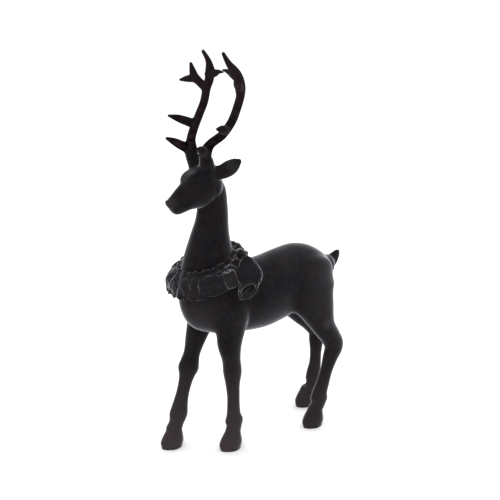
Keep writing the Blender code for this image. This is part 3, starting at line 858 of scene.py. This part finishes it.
def gathered_band(sizes):
    """The collar's gathered band: a surface of the turn round the neck and the place on a section.

    The section runs from the neck edge over the puffed band to the hem and back underneath, along
    the straight line between the two edges, raised square to the band by half its thickness from
    COLLAR_SECTION. Gathers are rounded crests with sharp creases between them: the share
    |sin(half the gather's phase)| to a low power. They swell the top and wave both edges.
    """
    turn = np.linspace(0, 2 * np.pi, BAND_TURNS, endpoint=False)
    inner = round_neck(sizes.neck_reach / MM, NECK_LINE, turn)
    outer = round_neck(sizes.hem_reach / MM, HEM_LINE, turn)
    middle = (inner + outer) / 2
    around = np.roll(middle, -1, axis=0) - np.roll(middle, 1, axis=0)
    lift = unit(np.cross(outer - inner, around))[:, None]
    profile = through(COLLAR_SECTION, SECTION_STEPS)
    over = np.vstack([profile, profile[::-1][1:-1]])
    side = np.concatenate([np.ones(len(profile)), -np.ones(len(profile) - 2)])[None, :]
    place, share = over[:, 0][None, :], over[:, 1][None, :]
    turn = turn[:, None]

    slant = waves(turn, GATHER_SLANT) * (place - 0.5)
    phase = sizes.gathers * turn + waves(turn, GATHER_WANDER) + slant
    depth = GATHER_DEPTH * waves(turn, GATHER_DEPTHS, 1)
    crest = np.abs(np.sin(phase / 2)) ** CREST_POWER
    fine = np.sin(2 * phase + waves(turn, FINE_WANDER))
    hem = np.clip((place - HEM_FROM) / (1 - HEM_FROM), 0, 1) ** HEM_POWER
    frill = np.clip((FRILL_TO - place) / FRILL_TO, 0, 1)

    def edge_reach(by_gathers, by_fine, crests):
        """How far an edge is pushed along the section, by the crests and by finer waves."""
        return by_gathers * crests + by_fine * fine

    def edge_lift(by_gathers, by_fine, start):
        """How far an edge is lifted, by a sine of the gathers' phase and by finer waves."""
        return by_gathers * np.sin(phase + start) + by_fine * fine

    along = place + hem * edge_reach(*HEM_REACHES, crest - 0.5)
    along = along - frill * edge_reach(*FRILL_REACHES, crest)
    top = share * (TOP_LEVEL + depth * crest)
    under = share * (UNDER_LEVEL + UNDER_DEPTH * crest)
    thick = sizes.puff / MM * np.where(side > 0, top, -under)
    thick = thick + hem * edge_lift(*HEM_LIFTS) + frill * edge_lift(*FRILL_LIFTS)
    proud = bell(turn - PROUD_GATHER, PROUD_GATHER_REACH) * np.sin(np.pi * place)
    thick = thick + PROUD_GATHER_BY * proud
    points = inner[:, None] + along[..., None] * (outer - inner)[:, None] + thick[..., None] * lift
    return points.reshape(-1, 3), ring_quads(*thick.shape)


def knot():
    """A square-shouldered cushion: an egg whose cosines and sines are raised to a low power."""
    wide, tall, deep = KNOT_SIZE
    rise = unit(KNOT_RISE)
    across = unit(np.cross(rise, KNOT_OUT))
    out = np.cross(across, rise)
    lean = np.linspace(-np.pi / 2, np.pi / 2, KNOT_RINGS)[1:-1, None, None]
    climb, shrink = squared(np.sin(lean)), squared(np.cos(lean))
    angle = np.linspace(0, 2 * np.pi, RING_SIDES, endpoint=False)[None, :, None]
    middle = np.array(KNOT, float)
    girth = squared(np.cos(angle)) * wide * across - squared(np.sin(angle)) * deep * out
    rings = middle + climb * tall * rise + shrink * girth
    return close_rings(rings, middle - tall * rise, middle + tall * rise)


def squared(share):
    """Push a sine or cosine towards -1 or 1, keeping its sign."""
    return np.sign(share) * np.abs(share) ** KNOT_SQUARENESS


def rear_loop():
    """A puffed loop of ribbon: rings from its closed top to its mouth's rim, then back inside."""
    rows = through(REAR_LOOP)
    centre, along, outward = np.split(rows[:, None], 3, axis=-1)
    angle = np.linspace(0, 2 * np.pi, RING_SIDES, endpoint=False)[None, :, None]
    rings = centre + along * np.cos(angle) + outward * np.sin(angle)
    return close_rings(rings, centre[0, 0], centre[-1, 0])


def ribbon(stations, rise=RIBBON_RISE):
    """A flat band of ribbon with rounded edges; its height stands along the rise."""
    rows = through(stations)
    return limb_skin(rows[:, :3], rows[:, 3], rows[:, 4], rise)


def body_skins():
    """Trunk, tail, legs and hooves."""
    legs = (LEFT_FORELEG, RIGHT_FORELEG, LEFT_HINDLEG, RIGHT_HINDLEG)
    skins = [trunk(), tail(), *(leg(stations) for stations in legs)]
    return skins + [hoof(middle) for middle in SOLE_MIDDLES]


def face_joints():
    """Where brows, pedicles and ears grow out of the skull, and the skull out of the neck."""
    places = [head_place(*joint) for joint in CROWN_JOINTS]
    for hand in (LEFT, RIGHT):
        places += [head_place(ahead, up, out * hand) for ahead, up, out in FACE_JOINTS]
    return places


def head_skins():
    """Neck, skull, brows, ears and pedicles."""
    skins = [neck(), head(), *(brow(side) for side in (LEFT, 0, RIGHT))]
    for hand in (LEFT, RIGHT):
        skins += [ear(hand), pedicle(hand)]
    return skins


def metres(point):
    """A carving-frame point in metres, from the solids' origin."""
    return (np.asarray(point, float) - BOX_MIDDLE) * MM


def fuse(name, skins, grid):
    """One closed surface round all the skins, as a static mesh."""
    points, faces, start = [], [], 0
    for some_points, some_faces in skins:
        points.append(some_points)
        faces += [[start + corner for corner in face] for face in some_faces]
        start += len(some_points)
    mesh = bpy.data.meshes.new(name)
    mesh.from_pydata(metres(np.vstack(points)).tolist(), [], faces)
    piece = bpy.data.objects.new(name, mesh)
    bpy.context.scene.collection.objects.link(piece)
    remesh = piece.modifiers.new("Fuse", "REMESH")
    remesh.mode = "VOXEL"
    remesh.voxel_size = grid
    graph = bpy.context.evaluated_depsgraph_get()
    fused = bpy.data.meshes.new_from_object(piece.evaluated_get(graph))
    if not fused.polygons:
        raise RuntimeError(f"{name} could not be fused")
    piece.modifiers.clear()
    piece.data = fused
    bpy.data.meshes.remove(mesh)
    fused.name = name
    return piece


def read_points(mesh):
    """The mesh's points in the carving frame, and its normals."""
    points = np.empty(len(mesh.vertices) * 3)
    mesh.vertices.foreach_get("co", points)
    normals = np.empty(len(mesh.vertices) * 3)
    mesh.vertices.foreach_get("normal", normals)
    return points.reshape(-1, 3) / MM + BOX_MIDDLE, normals.reshape(-1, 3)


def write_points(mesh, points):
    """Move the mesh's points to these places of the carving frame."""
    mesh.vertices.foreach_set("co", metres(points).ravel())
    mesh.update()


def links_of(mesh):
    """The two ends of each edge, and how many edges meet at each point."""
    edges = np.empty(len(mesh.edges) * 2, np.int32)
    mesh.edges.foreach_get("vertices", edges)
    one, other = edges.reshape(-1, 2).T
    valence = np.bincount(np.concatenate([one, other]), minlength=len(mesh.vertices))
    return one, other, valence[:, None]


def neighbour_sums(points, one, other):
    """For each point, the sum of the points at the far ends of its edges."""
    total = np.zeros_like(points)
    for axis in range(3):
        total[:, axis] = np.bincount(one, points[other, axis], len(points))
        total[:, axis] += np.bincount(other, points[one, axis], len(points))
    return total


def smooth(piece, rounds):
    """Each round moves every point half way to its neighbours' mean, then part of the way back."""
    mesh = piece.data
    points, _ = read_points(mesh)
    one, other, valence = links_of(mesh)
    for share in SMOOTHING_STEPS * rounds:
        points += share * (neighbour_sums(points, one, other) / valence - points)
    write_points(mesh, points)


def fill_joints(piece, places, reach, rounds, sink=RIDGES_SINK):
    """Fill the creases near the places: points move out towards the mean of their neighbours.

    Ridges sink too, by the share sink of what would level them. Points move along their normals.
    """
    mesh = piece.data
    points, normals = read_points(mesh)
    share = nearness(points, places, reach)
    one, other, valence = links_of(mesh)
    live = (share[one] > LEAST_SHARE) | (share[other] > LEAST_SHARE)
    one, other = one[live], other[live]
    moved = np.unique(np.concatenate([one, other]))
    moved = moved[share[moved] > LEAST_SHARE]
    for turn in range(rounds):
        if turn % FRESH_NORMALS == FRESH_NORMALS - 1:
            write_points(mesh, points)
            _, normals = read_points(mesh)
        drawn = neighbour_sums(points, one, other)[moved] / valence[moved] - points[moved]
        rise = np.sum(drawn * normals[moved], axis=1)
        levelled = np.clip(rise, 0, None) + sink * np.clip(rise, None, 0)
        points[moved] += (FILL_STEP * share[moved] * levelled)[:, None] * normals[moved]
    write_points(mesh, points)


def nearness(points, places, reach):
    """A share from 0 to 1: one beside any of the places, nothing beyond about twice the reach."""
    shares = [bell(np.linalg.norm(points - place, axis=1), reach) for place in places]
    return np.clip(NEAR_SHARE * np.max(shares, axis=0), 0, 1)


def carve(piece, line, depth, width):
    """Sink a groove of this depth and half width, in millimetres, along a line on the surface."""
    points, normals = read_points(piece.data)
    write_points(piece.data, points - depth * share_along(points, line, width)[:, None] * normals)


def crumple(piece, height, size):
    """Raise and sink the surface by smooth lumps about this high and this long, in millimetres."""
    points, normals = read_points(piece.data)
    unevenness = lumps(points, size, CRUMPLE_SEED)[:, None]
    write_points(piece.data, points + height * unevenness * normals)


def cut_flat(piece, point, normal, reach=None):
    """Cut away what lies behind the plane, within reach of the point, and close the cut flat."""
    bm = bmesh.new()
    bm.from_mesh(piece.data)
    point = Vector(point)
    near = [vert for vert in bm.verts if reach is None or (vert.co - point).length < reach]
    # Dictionaries and not sets, because the order of a set changes from run to run
    faces = dict.fromkeys(face for vert in near for face in vert.link_faces)
    edges = dict.fromkeys(edge for face in faces for edge in face.edges)
    verts = dict.fromkeys(vert for face in faces for vert in face.verts)
    cut = bmesh.ops.bisect_plane(
        bm, geom=[*verts, *edges, *faces], plane_co=point, plane_no=normal, clear_inner=True)
    rim = [item for item in cut["geom_cut"] if isinstance(item, bmesh.types.BMEdge)]
    if not rim:
        raise RuntimeError(f"The cut misses {piece.name}")
    made = bmesh.ops.edgeloop_fill(bm, edges=rim)
    bmesh.ops.triangulate(bm, faces=made["faces"])
    bmesh.ops.recalc_face_normals(bm, faces=bm.faces[:])
    bm.to_mesh(piece.data)
    bm.free()


def lumps(points, size, seed):
    """Smooth unevenness from -1 to 1: the mean of sine waves about this many millimetres long."""
    rng = np.random.default_rng(seed)
    heading = unit(rng.normal(size=(LUMP_WAVES, 3)))
    steepness = heading * rng.uniform(*LUMP_SPREAD, (LUMP_WAVES, 1)) * 2 * np.pi / size
    phase = rng.uniform(0, 2 * np.pi, LUMP_WAVES)
    return np.sin(points @ steepness.T + phase).mean(axis=1)


def bell(distance, reach):
    """One at no distance, falling off as exp(-(distance / reach) squared)."""
    return np.exp(-((distance / reach) ** 2))


def share_along(points, stations, reach):
    """One on a smooth line through the stations, or at a single place, falling off as a bell."""
    single = np.ndim(stations) == 1
    line = np.array([stations], float) if single else through(stations, LINE_STEPS)
    middle = line.mean(axis=0)
    longest = np.linalg.norm(line - middle, axis=1).max() + BELL_ENDS * reach
    near = np.flatnonzero(np.linalg.norm(points - middle, axis=1) < longest)
    gap = points[near][:, None] - line[None]
    share = np.zeros(len(points))
    share[near] = bell(np.sqrt((gap**2).sum(axis=2).min(axis=1)), reach)
    return share


def paint_nap_and_light(piece, patches):
    """Write a share of lighter colour, 0 to 1: lumps of nap all over, more or less in each patch;
    the patches are of nap and of painted light.
    """
    mesh = piece.data
    points, _ = read_points(mesh)
    lighter_share = sum(height * lumps(points, size, seed) for height, size, seed in NAP_LUMPS)
    for place, reach, much in patches:
        lighter_share += much * share_along(points, place, reach)
    write_share(mesh, "nap_and_painted_light", lighter_share)


def paint_floor_light(piece):
    """Write how much painted bounce light from the floor each point takes, 0 to 1: it grows down
    the legs, less on the hind ones.
    """
    points, _ = read_points(piece.data)
    down = np.clip((FLOOR_LIGHT_FROM - points[:, 2]) / FLOOR_LIGHT_FROM, 0, 1)
    behind = np.clip((points[:, 1] - BEHIND_FROM) / (BEHIND_TO - BEHIND_FROM), 0, 1)
    kept = np.where(points[:, 0] > 0, *FLOOR_LIGHT_CUT_BEHIND)
    write_share(piece.data, "painted_floor_light", down * (1 - kept * behind))


def write_share(mesh, name, share):
    """Keep a share between 0 and 1 for each point under this name."""
    kept = mesh.attributes.new(name, "FLOAT", "POINT")
    kept.data.foreach_set("value", np.clip(share, 0, 1))


def finish(piece, material, slot, *nodes):
    """Shade smooth, dress in its material, and set the piece in place of its solids."""
    mesh = piece.data
    mesh.polygons.foreach_set("use_smooth", np.ones(len(mesh.polygons), bool))
    mesh.materials.clear()
    mesh.materials.append(material)
    mesh.update()
    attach(piece, "root")
    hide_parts(*nodes)


def shader_of(name):
    """A new material, its node tree and its Principled shader."""
    material = bpy.data.materials.new(name)
    material.use_nodes = True
    return material, material.node_tree, material.node_tree.nodes["Principled BSDF"]


def settle(made, **settings):
    """Set a node's input sockets, named with underscores for spaces, or else its attributes."""
    for key, value in settings.items():
        socket = made.inputs.get(key.replace("_", " "))
        if socket is not None:
            socket.default_value = value
        else:
            setattr(made, key, value)
    return made


def node(tree, kind, **settings):
    """A new node of this kind with these settings."""
    return settle(tree.nodes.new(kind), **settings)


def noise(tree, place, scale, detail, roughness):
    """A noise pattern on the object's own coordinates."""
    made = node(tree, "ShaderNodeTexNoise", Scale=scale, Detail=detail, Roughness=roughness)
    tree.links.new(place, made.inputs["Vector"])
    return made.outputs["Fac"]


def ramp(tree, value, start, end):
    """A share that rises from 0, where the value is at the start, to 1, where it is at the end."""
    made = node(tree, "ShaderNodeMapRange", From_Min=start, From_Max=end)
    tree.links.new(value, made.inputs["Value"])
    return made.outputs["Result"]


def kept_share(tree, name):
    """The share that is kept for each point under this name."""
    return node(tree, "ShaderNodeAttribute", attribute_name=name).outputs["Fac"]


def flock_relief(tree, shader, place):
    """Nap under the light: soft brushed patches and over them the fine pile, as two bumps."""
    below = None
    for *pattern, strength, height in FLOCK_RELIEF:
        bump = node(tree, "ShaderNodeBump", Strength=strength, Distance=height)
        tree.links.new(noise(tree, place, *pattern), bump.inputs["Height"])
        if below is not None:
            tree.links.new(below, bump.inputs["Normal"])
        below = bump.outputs["Normal"]
    tree.links.new(below, shader.inputs["Normal"])


def pile_gloss(shader, sheen, spread, tint):
    """The glow of the pile where it is seen edge on, over a surface with next to no shine."""
    settle(
        shader, Roughness=FLOCK_ROUGHNESS, Specular_IOR_Level=FLOCK_SPECULAR,
        Sheen_Weight=sheen, Sheen_Roughness=spread, Sheen_Tint=(*tint, 1))


def blend(tree, share, one, other):
    """A colour between two colours by a share; each colour is a value or another node's output."""
    mix = node(tree, "ShaderNodeMix", data_type="RGBA")
    tree.links.new(share, mix.inputs[MIX_SHARE])
    for socket, colour in ((mix.inputs[MIX_ONE], one), (mix.inputs[MIX_OTHER], other)):
        if isinstance(colour, bpy.types.NodeSocket):
            tree.links.new(colour, socket)
        else:
            socket.default_value = (*colour, 1)
    return mix.outputs[MIX_RESULT]


def clouds(tree, place, size, low, high):
    """Cloudy patches of about this size in metres, from 0 at the low value of the noise to 1."""
    return ramp(tree, noise(tree, place, 1 / size, CLOUD_DETAIL, CLOUD_ROUGHNESS), low, high)


def velvet_and_painted_light(looks):
    """Black flock: browner and bluer patches, lighter in patches of nap and of painted light, and
    painted lighter towards the hooves as bounce light from the floor.
    """
    material, tree, shader = shader_of("velvet_and_painted_light")
    place = node(tree, "ShaderNodeTexCoord").outputs["Object"]
    velvet = blend(tree, clouds(tree, place, *BROWN_CLOUDS), looks.velvet, looks.brown_velvet)
    velvet = blend(tree, clouds(tree, place, *FLECK_CLOUDS), velvet, looks.brushed_fleck)
    # Lighter where the nap is raised, and where sheen and bounce light are painted on
    velvet = blend(tree, kept_share(tree, "nap_and_painted_light"), velvet, looks.brushed_and_lit)
    # Painted bounce light from the floor, lighter towards the hooves
    velvet = blend(tree, kept_share(tree, "painted_floor_light"), velvet, looks.floor_light_colour)
    tree.links.new(velvet, shader.inputs["Base Color"])
    flock_relief(tree, shader, place)
    pile_gloss(shader, looks.sheen, looks.sheen_roughness, VELVET_TINT)
    return material


def antler_flock_wear_and_sheen(looks):
    """Darker, redder flock, lighter in small rubbed patches and up the beam, with painted sheen on
    the left brow tine.
    """
    material, tree, shader = shader_of("antler_flock_wear_and_sheen")
    place = node(tree, "ShaderNodeTexCoord").outputs["Object"]
    apart = node(tree, "ShaderNodeSeparateXYZ")
    tree.links.new(place, apart.inputs["Vector"])
    height = apart.outputs["Z"]
    flock = blend(tree, ramp(tree, height, *BEAM_PALES), looks.antler_base, looks.antler)
    flock = blend(tree, ramp(tree, height, *FOOT_PALES), flock, looks.brushed_fleck)
    flock = blend(tree, clouds(tree, place, *RUBBED_CLOUDS), flock, looks.antler_rubbed)
    # Painted sheen on the left brow tine
    flock = blend(tree, kept_share(tree, "nap_and_painted_light"), flock, looks.brushed_and_lit)
    tree.links.new(flock, shader.inputs["Base Color"])
    flock_relief(tree, shader, place)
    pile_gloss(shader, looks.antler_sheen, ANTLER_SPREAD, ANTLER_TINT)
    return material


def shared(name, make):
    """The material of this name, made the first time it is asked for."""
    found = bpy.data.materials.get(name)
    return found or make(bpy.context.scene.flock_finish)


class STAG_OT_body(bpy.types.Operator):
    """Trunk, tail, legs and hooves, standing on flat soles and cut off under the collar"""

    bl_idname = "stag.body"
    bl_label = "Body and legs"

    def execute(self, context):
        casting = context.scene.stag_casting
        piece = fuse("stag_body", body_skins(), casting.body_grid)
        smooth(piece, casting.softness)
        fill_joints(piece, BODY_JOINTS, *BODY_FILL)
        coronets = [(x, y, CORONET) for x, y in SOLE_MIDDLES]
        fill_joints(piece, coronets, *CORONET_FILL)
        fill_joints(piece, TAIL_ROOT, *TAIL_FILL)
        cut_flat(piece, (0, 0, 0), (0, 0, 1))
        cut_flat(piece, metres(SEAM), -SEAM_RISE)
        paint_nap_and_light(piece, BODY_NAP_AND_SHEEN)
        paint_floor_light(piece)
        finish(piece, shared("velvet_and_painted_light", velvet_and_painted_light), "black_velvet", "deer")
        return {"FINISHED"}


class STAG_OT_head(bpy.types.Operator):
    """Neck, head, ears and pedicles, with the face carved in"""

    bl_idname = "stag.head"
    bl_label = "Head and neck"

    def execute(self, context):
        casting = context.scene.stag_casting
        piece = fuse("stag_head", head_skins(), casting.head_grid)
        smooth(piece, casting.softness)
        fill_joints(piece, face_joints(), *FACE_FILL)
        fill_joints(piece, [head_place(*NOSE_TIP)], *NOSE_FILL)
        for hand in (LEFT, RIGHT):
            eyelid = [head_place(ahead, up, out * hand) for ahead, up, out in EYELID]
            carve(piece, eyelid, *EYELID_GROOVE)
        cut_flat(piece, metres(SEAM), SEAM_RISE)
        for hand in (LEFT, RIGHT):
            middle, rise = seat(hand)
            cut_flat(piece, metres(middle), -rise, SEAT_REACH * MM)
        paint_nap_and_light(piece, HEAD_PAINTED_LIGHT)
        finish(piece, shared("velvet_and_painted_light", velvet_and_painted_light), "black_velvet", "deer")
        return {"FINISHED"}


class STAG_OT_collar(bpy.types.Operator):
    """The gathered collar and the bow on its left side"""

    bl_idname = "stag.collar"
    bl_label = "Collar and bow"

    def execute(self, context):
        casting = context.scene.stag_casting
        skins = [gathered_band(context.scene.collar_sizes), knot(), rear_loop()]
        skins += [ribbon(PINCH), ribbon(FRONT_LOOP), ribbon(MOUTH_FOLD, MOUTH_OUT)]
        piece = fuse("gathered_collar", skins, casting.collar_grid)
        smooth(piece, COLLAR_SMOOTHING)
        fill_joints(piece, COLLAR_JOINTS, *COLLAR_FILL, RIBBON_SINKS)
        for line in LOOP_PLEATS:
            carve(piece, line, *PLEAT_GROOVE)
        carve(piece, HOLLOW, *HOLLOW_GROOVE)
        for height, size in CRUMPLES:
            crumple(piece, height, size)
        smooth(piece, CRUMPLE_SMOOTHING)
        paint_nap_and_light(piece, COLLAR_NAP_AND_SHEEN)
        finish(piece, shared("velvet_and_painted_light", velvet_and_painted_light), "black_velvet", "deer")
        return {"FINISHED"}


class STAG_OT_antlers(bpy.types.Operator):
    """The two antlers, each with its foot cut flat above its pedicle"""

    bl_idname = "stag.antlers"
    bl_label = "Antlers"

    def execute(self, context):
        casting = context.scene.stag_casting
        for name, hand in (("left_antler", LEFT), ("right_antler", RIGHT)):
            skins = [round_branch(stations, hand) for stations in ANTLER.values()]
            piece = fuse(name + "_branches", skins, casting.antler_grid)
            smooth(piece, ANTLER_SMOOTHING)
            fill_joints(piece, branch_roots(hand), *ANTLER_FILL)
            paint_nap_and_light(piece, ANTLER_PAINTED_SHEEN)
            middle, rise = seat(hand)
            cut_flat(piece, metres(middle + SEAT_GAP * rise), rise)
            finish(piece, shared("antler_flock_wear_and_sheen", antler_flock_wear_and_sheen), "antler_flock", name)
        return {"FINISHED"}


def area_light(name, place, target, size, power):
    """A round lamp at the place, turned to the target."""
    light = bpy.data.lights.new(name, "AREA")
    light.shape = "DISK"
    light.size = size
    light.energy = power
    lamp = bpy.data.objects.new(name, light)
    lamp.location = place
    lamp.rotation_euler = (target - Vector(place)).to_track_quat("-Z", "Y").to_euler()
    bpy.context.scene.collection.objects.link(lamp)


def floor_disc(radius, colour):
    """A flat disc in metres: rings whose radii grow as the square of their count outwards."""
    reach = radius * np.linspace(0, 1, FLOOR_RINGS + 1)[1:, None] ** 2
    angle = np.linspace(0, 2 * np.pi, FLOOR_SIDES, endpoint=False)[None, :]
    level = np.zeros((FLOOR_RINGS, FLOOR_SIDES))
    flat = np.stack([reach * np.cos(angle), reach * np.sin(angle), level], axis=-1)
    points = np.vstack([[[0, 0, 0]], flat.reshape(-1, 3)])
    step = np.arange(FLOOR_SIDES)
    after = np.roll(step, -1)
    rows = 1 + np.arange(FLOOR_RINGS - 1)[:, None] * FLOOR_SIDES
    corners = [rows + step, rows + FLOOR_SIDES + step, rows + FLOOR_SIDES + after, rows + after]
    quads = np.stack(corners, axis=-1).reshape(-1, 4)
    fan = np.stack([np.zeros(FLOOR_SIDES, int), 1 + step, 1 + after], axis=-1)
    mesh = bpy.data.meshes.new("floor")
    mesh.from_pydata(points.tolist(), [], quads.tolist() + fan.tolist())
    floor = bpy.data.objects.new("floor", mesh)
    bpy.context.scene.collection.objects.link(floor)
    material, _, shader = shader_of("pale_floor")
    settle(
        shader, Base_Color=(*colour, 1), Roughness=FLOOR_ROUGHNESS,
        Specular_IOR_Level=FLOOR_SPECULAR)
    mesh.materials.append(material)
    return floor


def white_room():
    """A world of even white light."""
    world = bpy.data.worlds.new("white_room")
    world.use_nodes = True
    settle(world.node_tree.nodes["Background"], Color=(1, 1, 1, 1), Strength=ROOM_LIGHT)
    return world


def viewer(stage):
    """A camera that looks at the target: it stands back from it, round by the azimuth and up."""
    azimuth, elevation = stage.azimuth, stage.elevation
    back = Vector((
        np.cos(elevation) * np.sin(azimuth), -np.cos(elevation) * np.cos(azimuth),
        np.sin(elevation)))
    camera = bpy.data.cameras.new("camera")
    camera.lens = stage.lens
    camera.clip_end = CLIP_END
    made = bpy.data.objects.new("camera", camera)
    made.location = Vector(stage.target) + stage.distance * back
    made.rotation_euler = back.to_track_quat("Z", "Y").to_euler()
    bpy.context.scene.collection.objects.link(made)
    return made


class STAG_OT_stage(bpy.types.Operator):
    """A pale floor, soft lights all round and the camera"""

    bl_idname = "stag.stage"
    bl_label = "Floor, lights and camera"

    def execute(self, context):
        scene, stage = context.scene, context.scene.stage_settings
        floor_disc(stage.floor_radius, stage.floor_colour)
        scene.world = white_room()
        for name, (place, size, power) in LAMPS.items():
            area_light(name, place, Vector(stage.target), size, power)
        scene.camera = viewer(stage)
        scene.view_settings.view_transform = "Standard"
        return {"FINISHED"}


class STAG_PT_panel(bpy.types.Panel):
    """Lists the steps that make the stag"""

    bl_idname = "STAG_PT_panel"
    bl_label = "Flocked stag"
    bl_space_type = "VIEW_3D"
    bl_region_type = "UI"
    bl_category = "Stag"

    def draw(self, context):
        for step in STEPS:
            self.layout.operator(step.bl_idname)


STEPS = (STAG_OT_body, STAG_OT_head, STAG_OT_collar, STAG_OT_antlers, STAG_OT_stage)
GROUPS = (
    ("stag_casting", StagCasting),
    ("collar_sizes", CollarSizes),
    ("flock_finish", FlockFinish),
    ("stage_settings", StageSettings),
)


def register():
    """Add the settings to the scene, and the steps and their panel to Blender."""
    for name, group in GROUPS:
        bpy.utils.register_class(group)
        setattr(bpy.types.Scene, name, PointerProperty(type=group))
    for step in (*STEPS, STAG_PT_panel):
        bpy.utils.register_class(step)


def unregister():
    """Take them out again."""
    for step in (*STEPS, STAG_PT_panel):
        bpy.utils.unregister_class(step)
    for name, group in GROUPS:
        delattr(bpy.types.Scene, name)
        bpy.utils.unregister_class(group)


def main():
    """Make the figurine piece by piece, then the stage."""
    register()
    bpy.ops.stag.body()
    bpy.ops.stag.head()
    bpy.ops.stag.collar()
    bpy.ops.stag.antlers()
    bpy.ops.stag.stage()


if __name__ == "__main__":
    main()
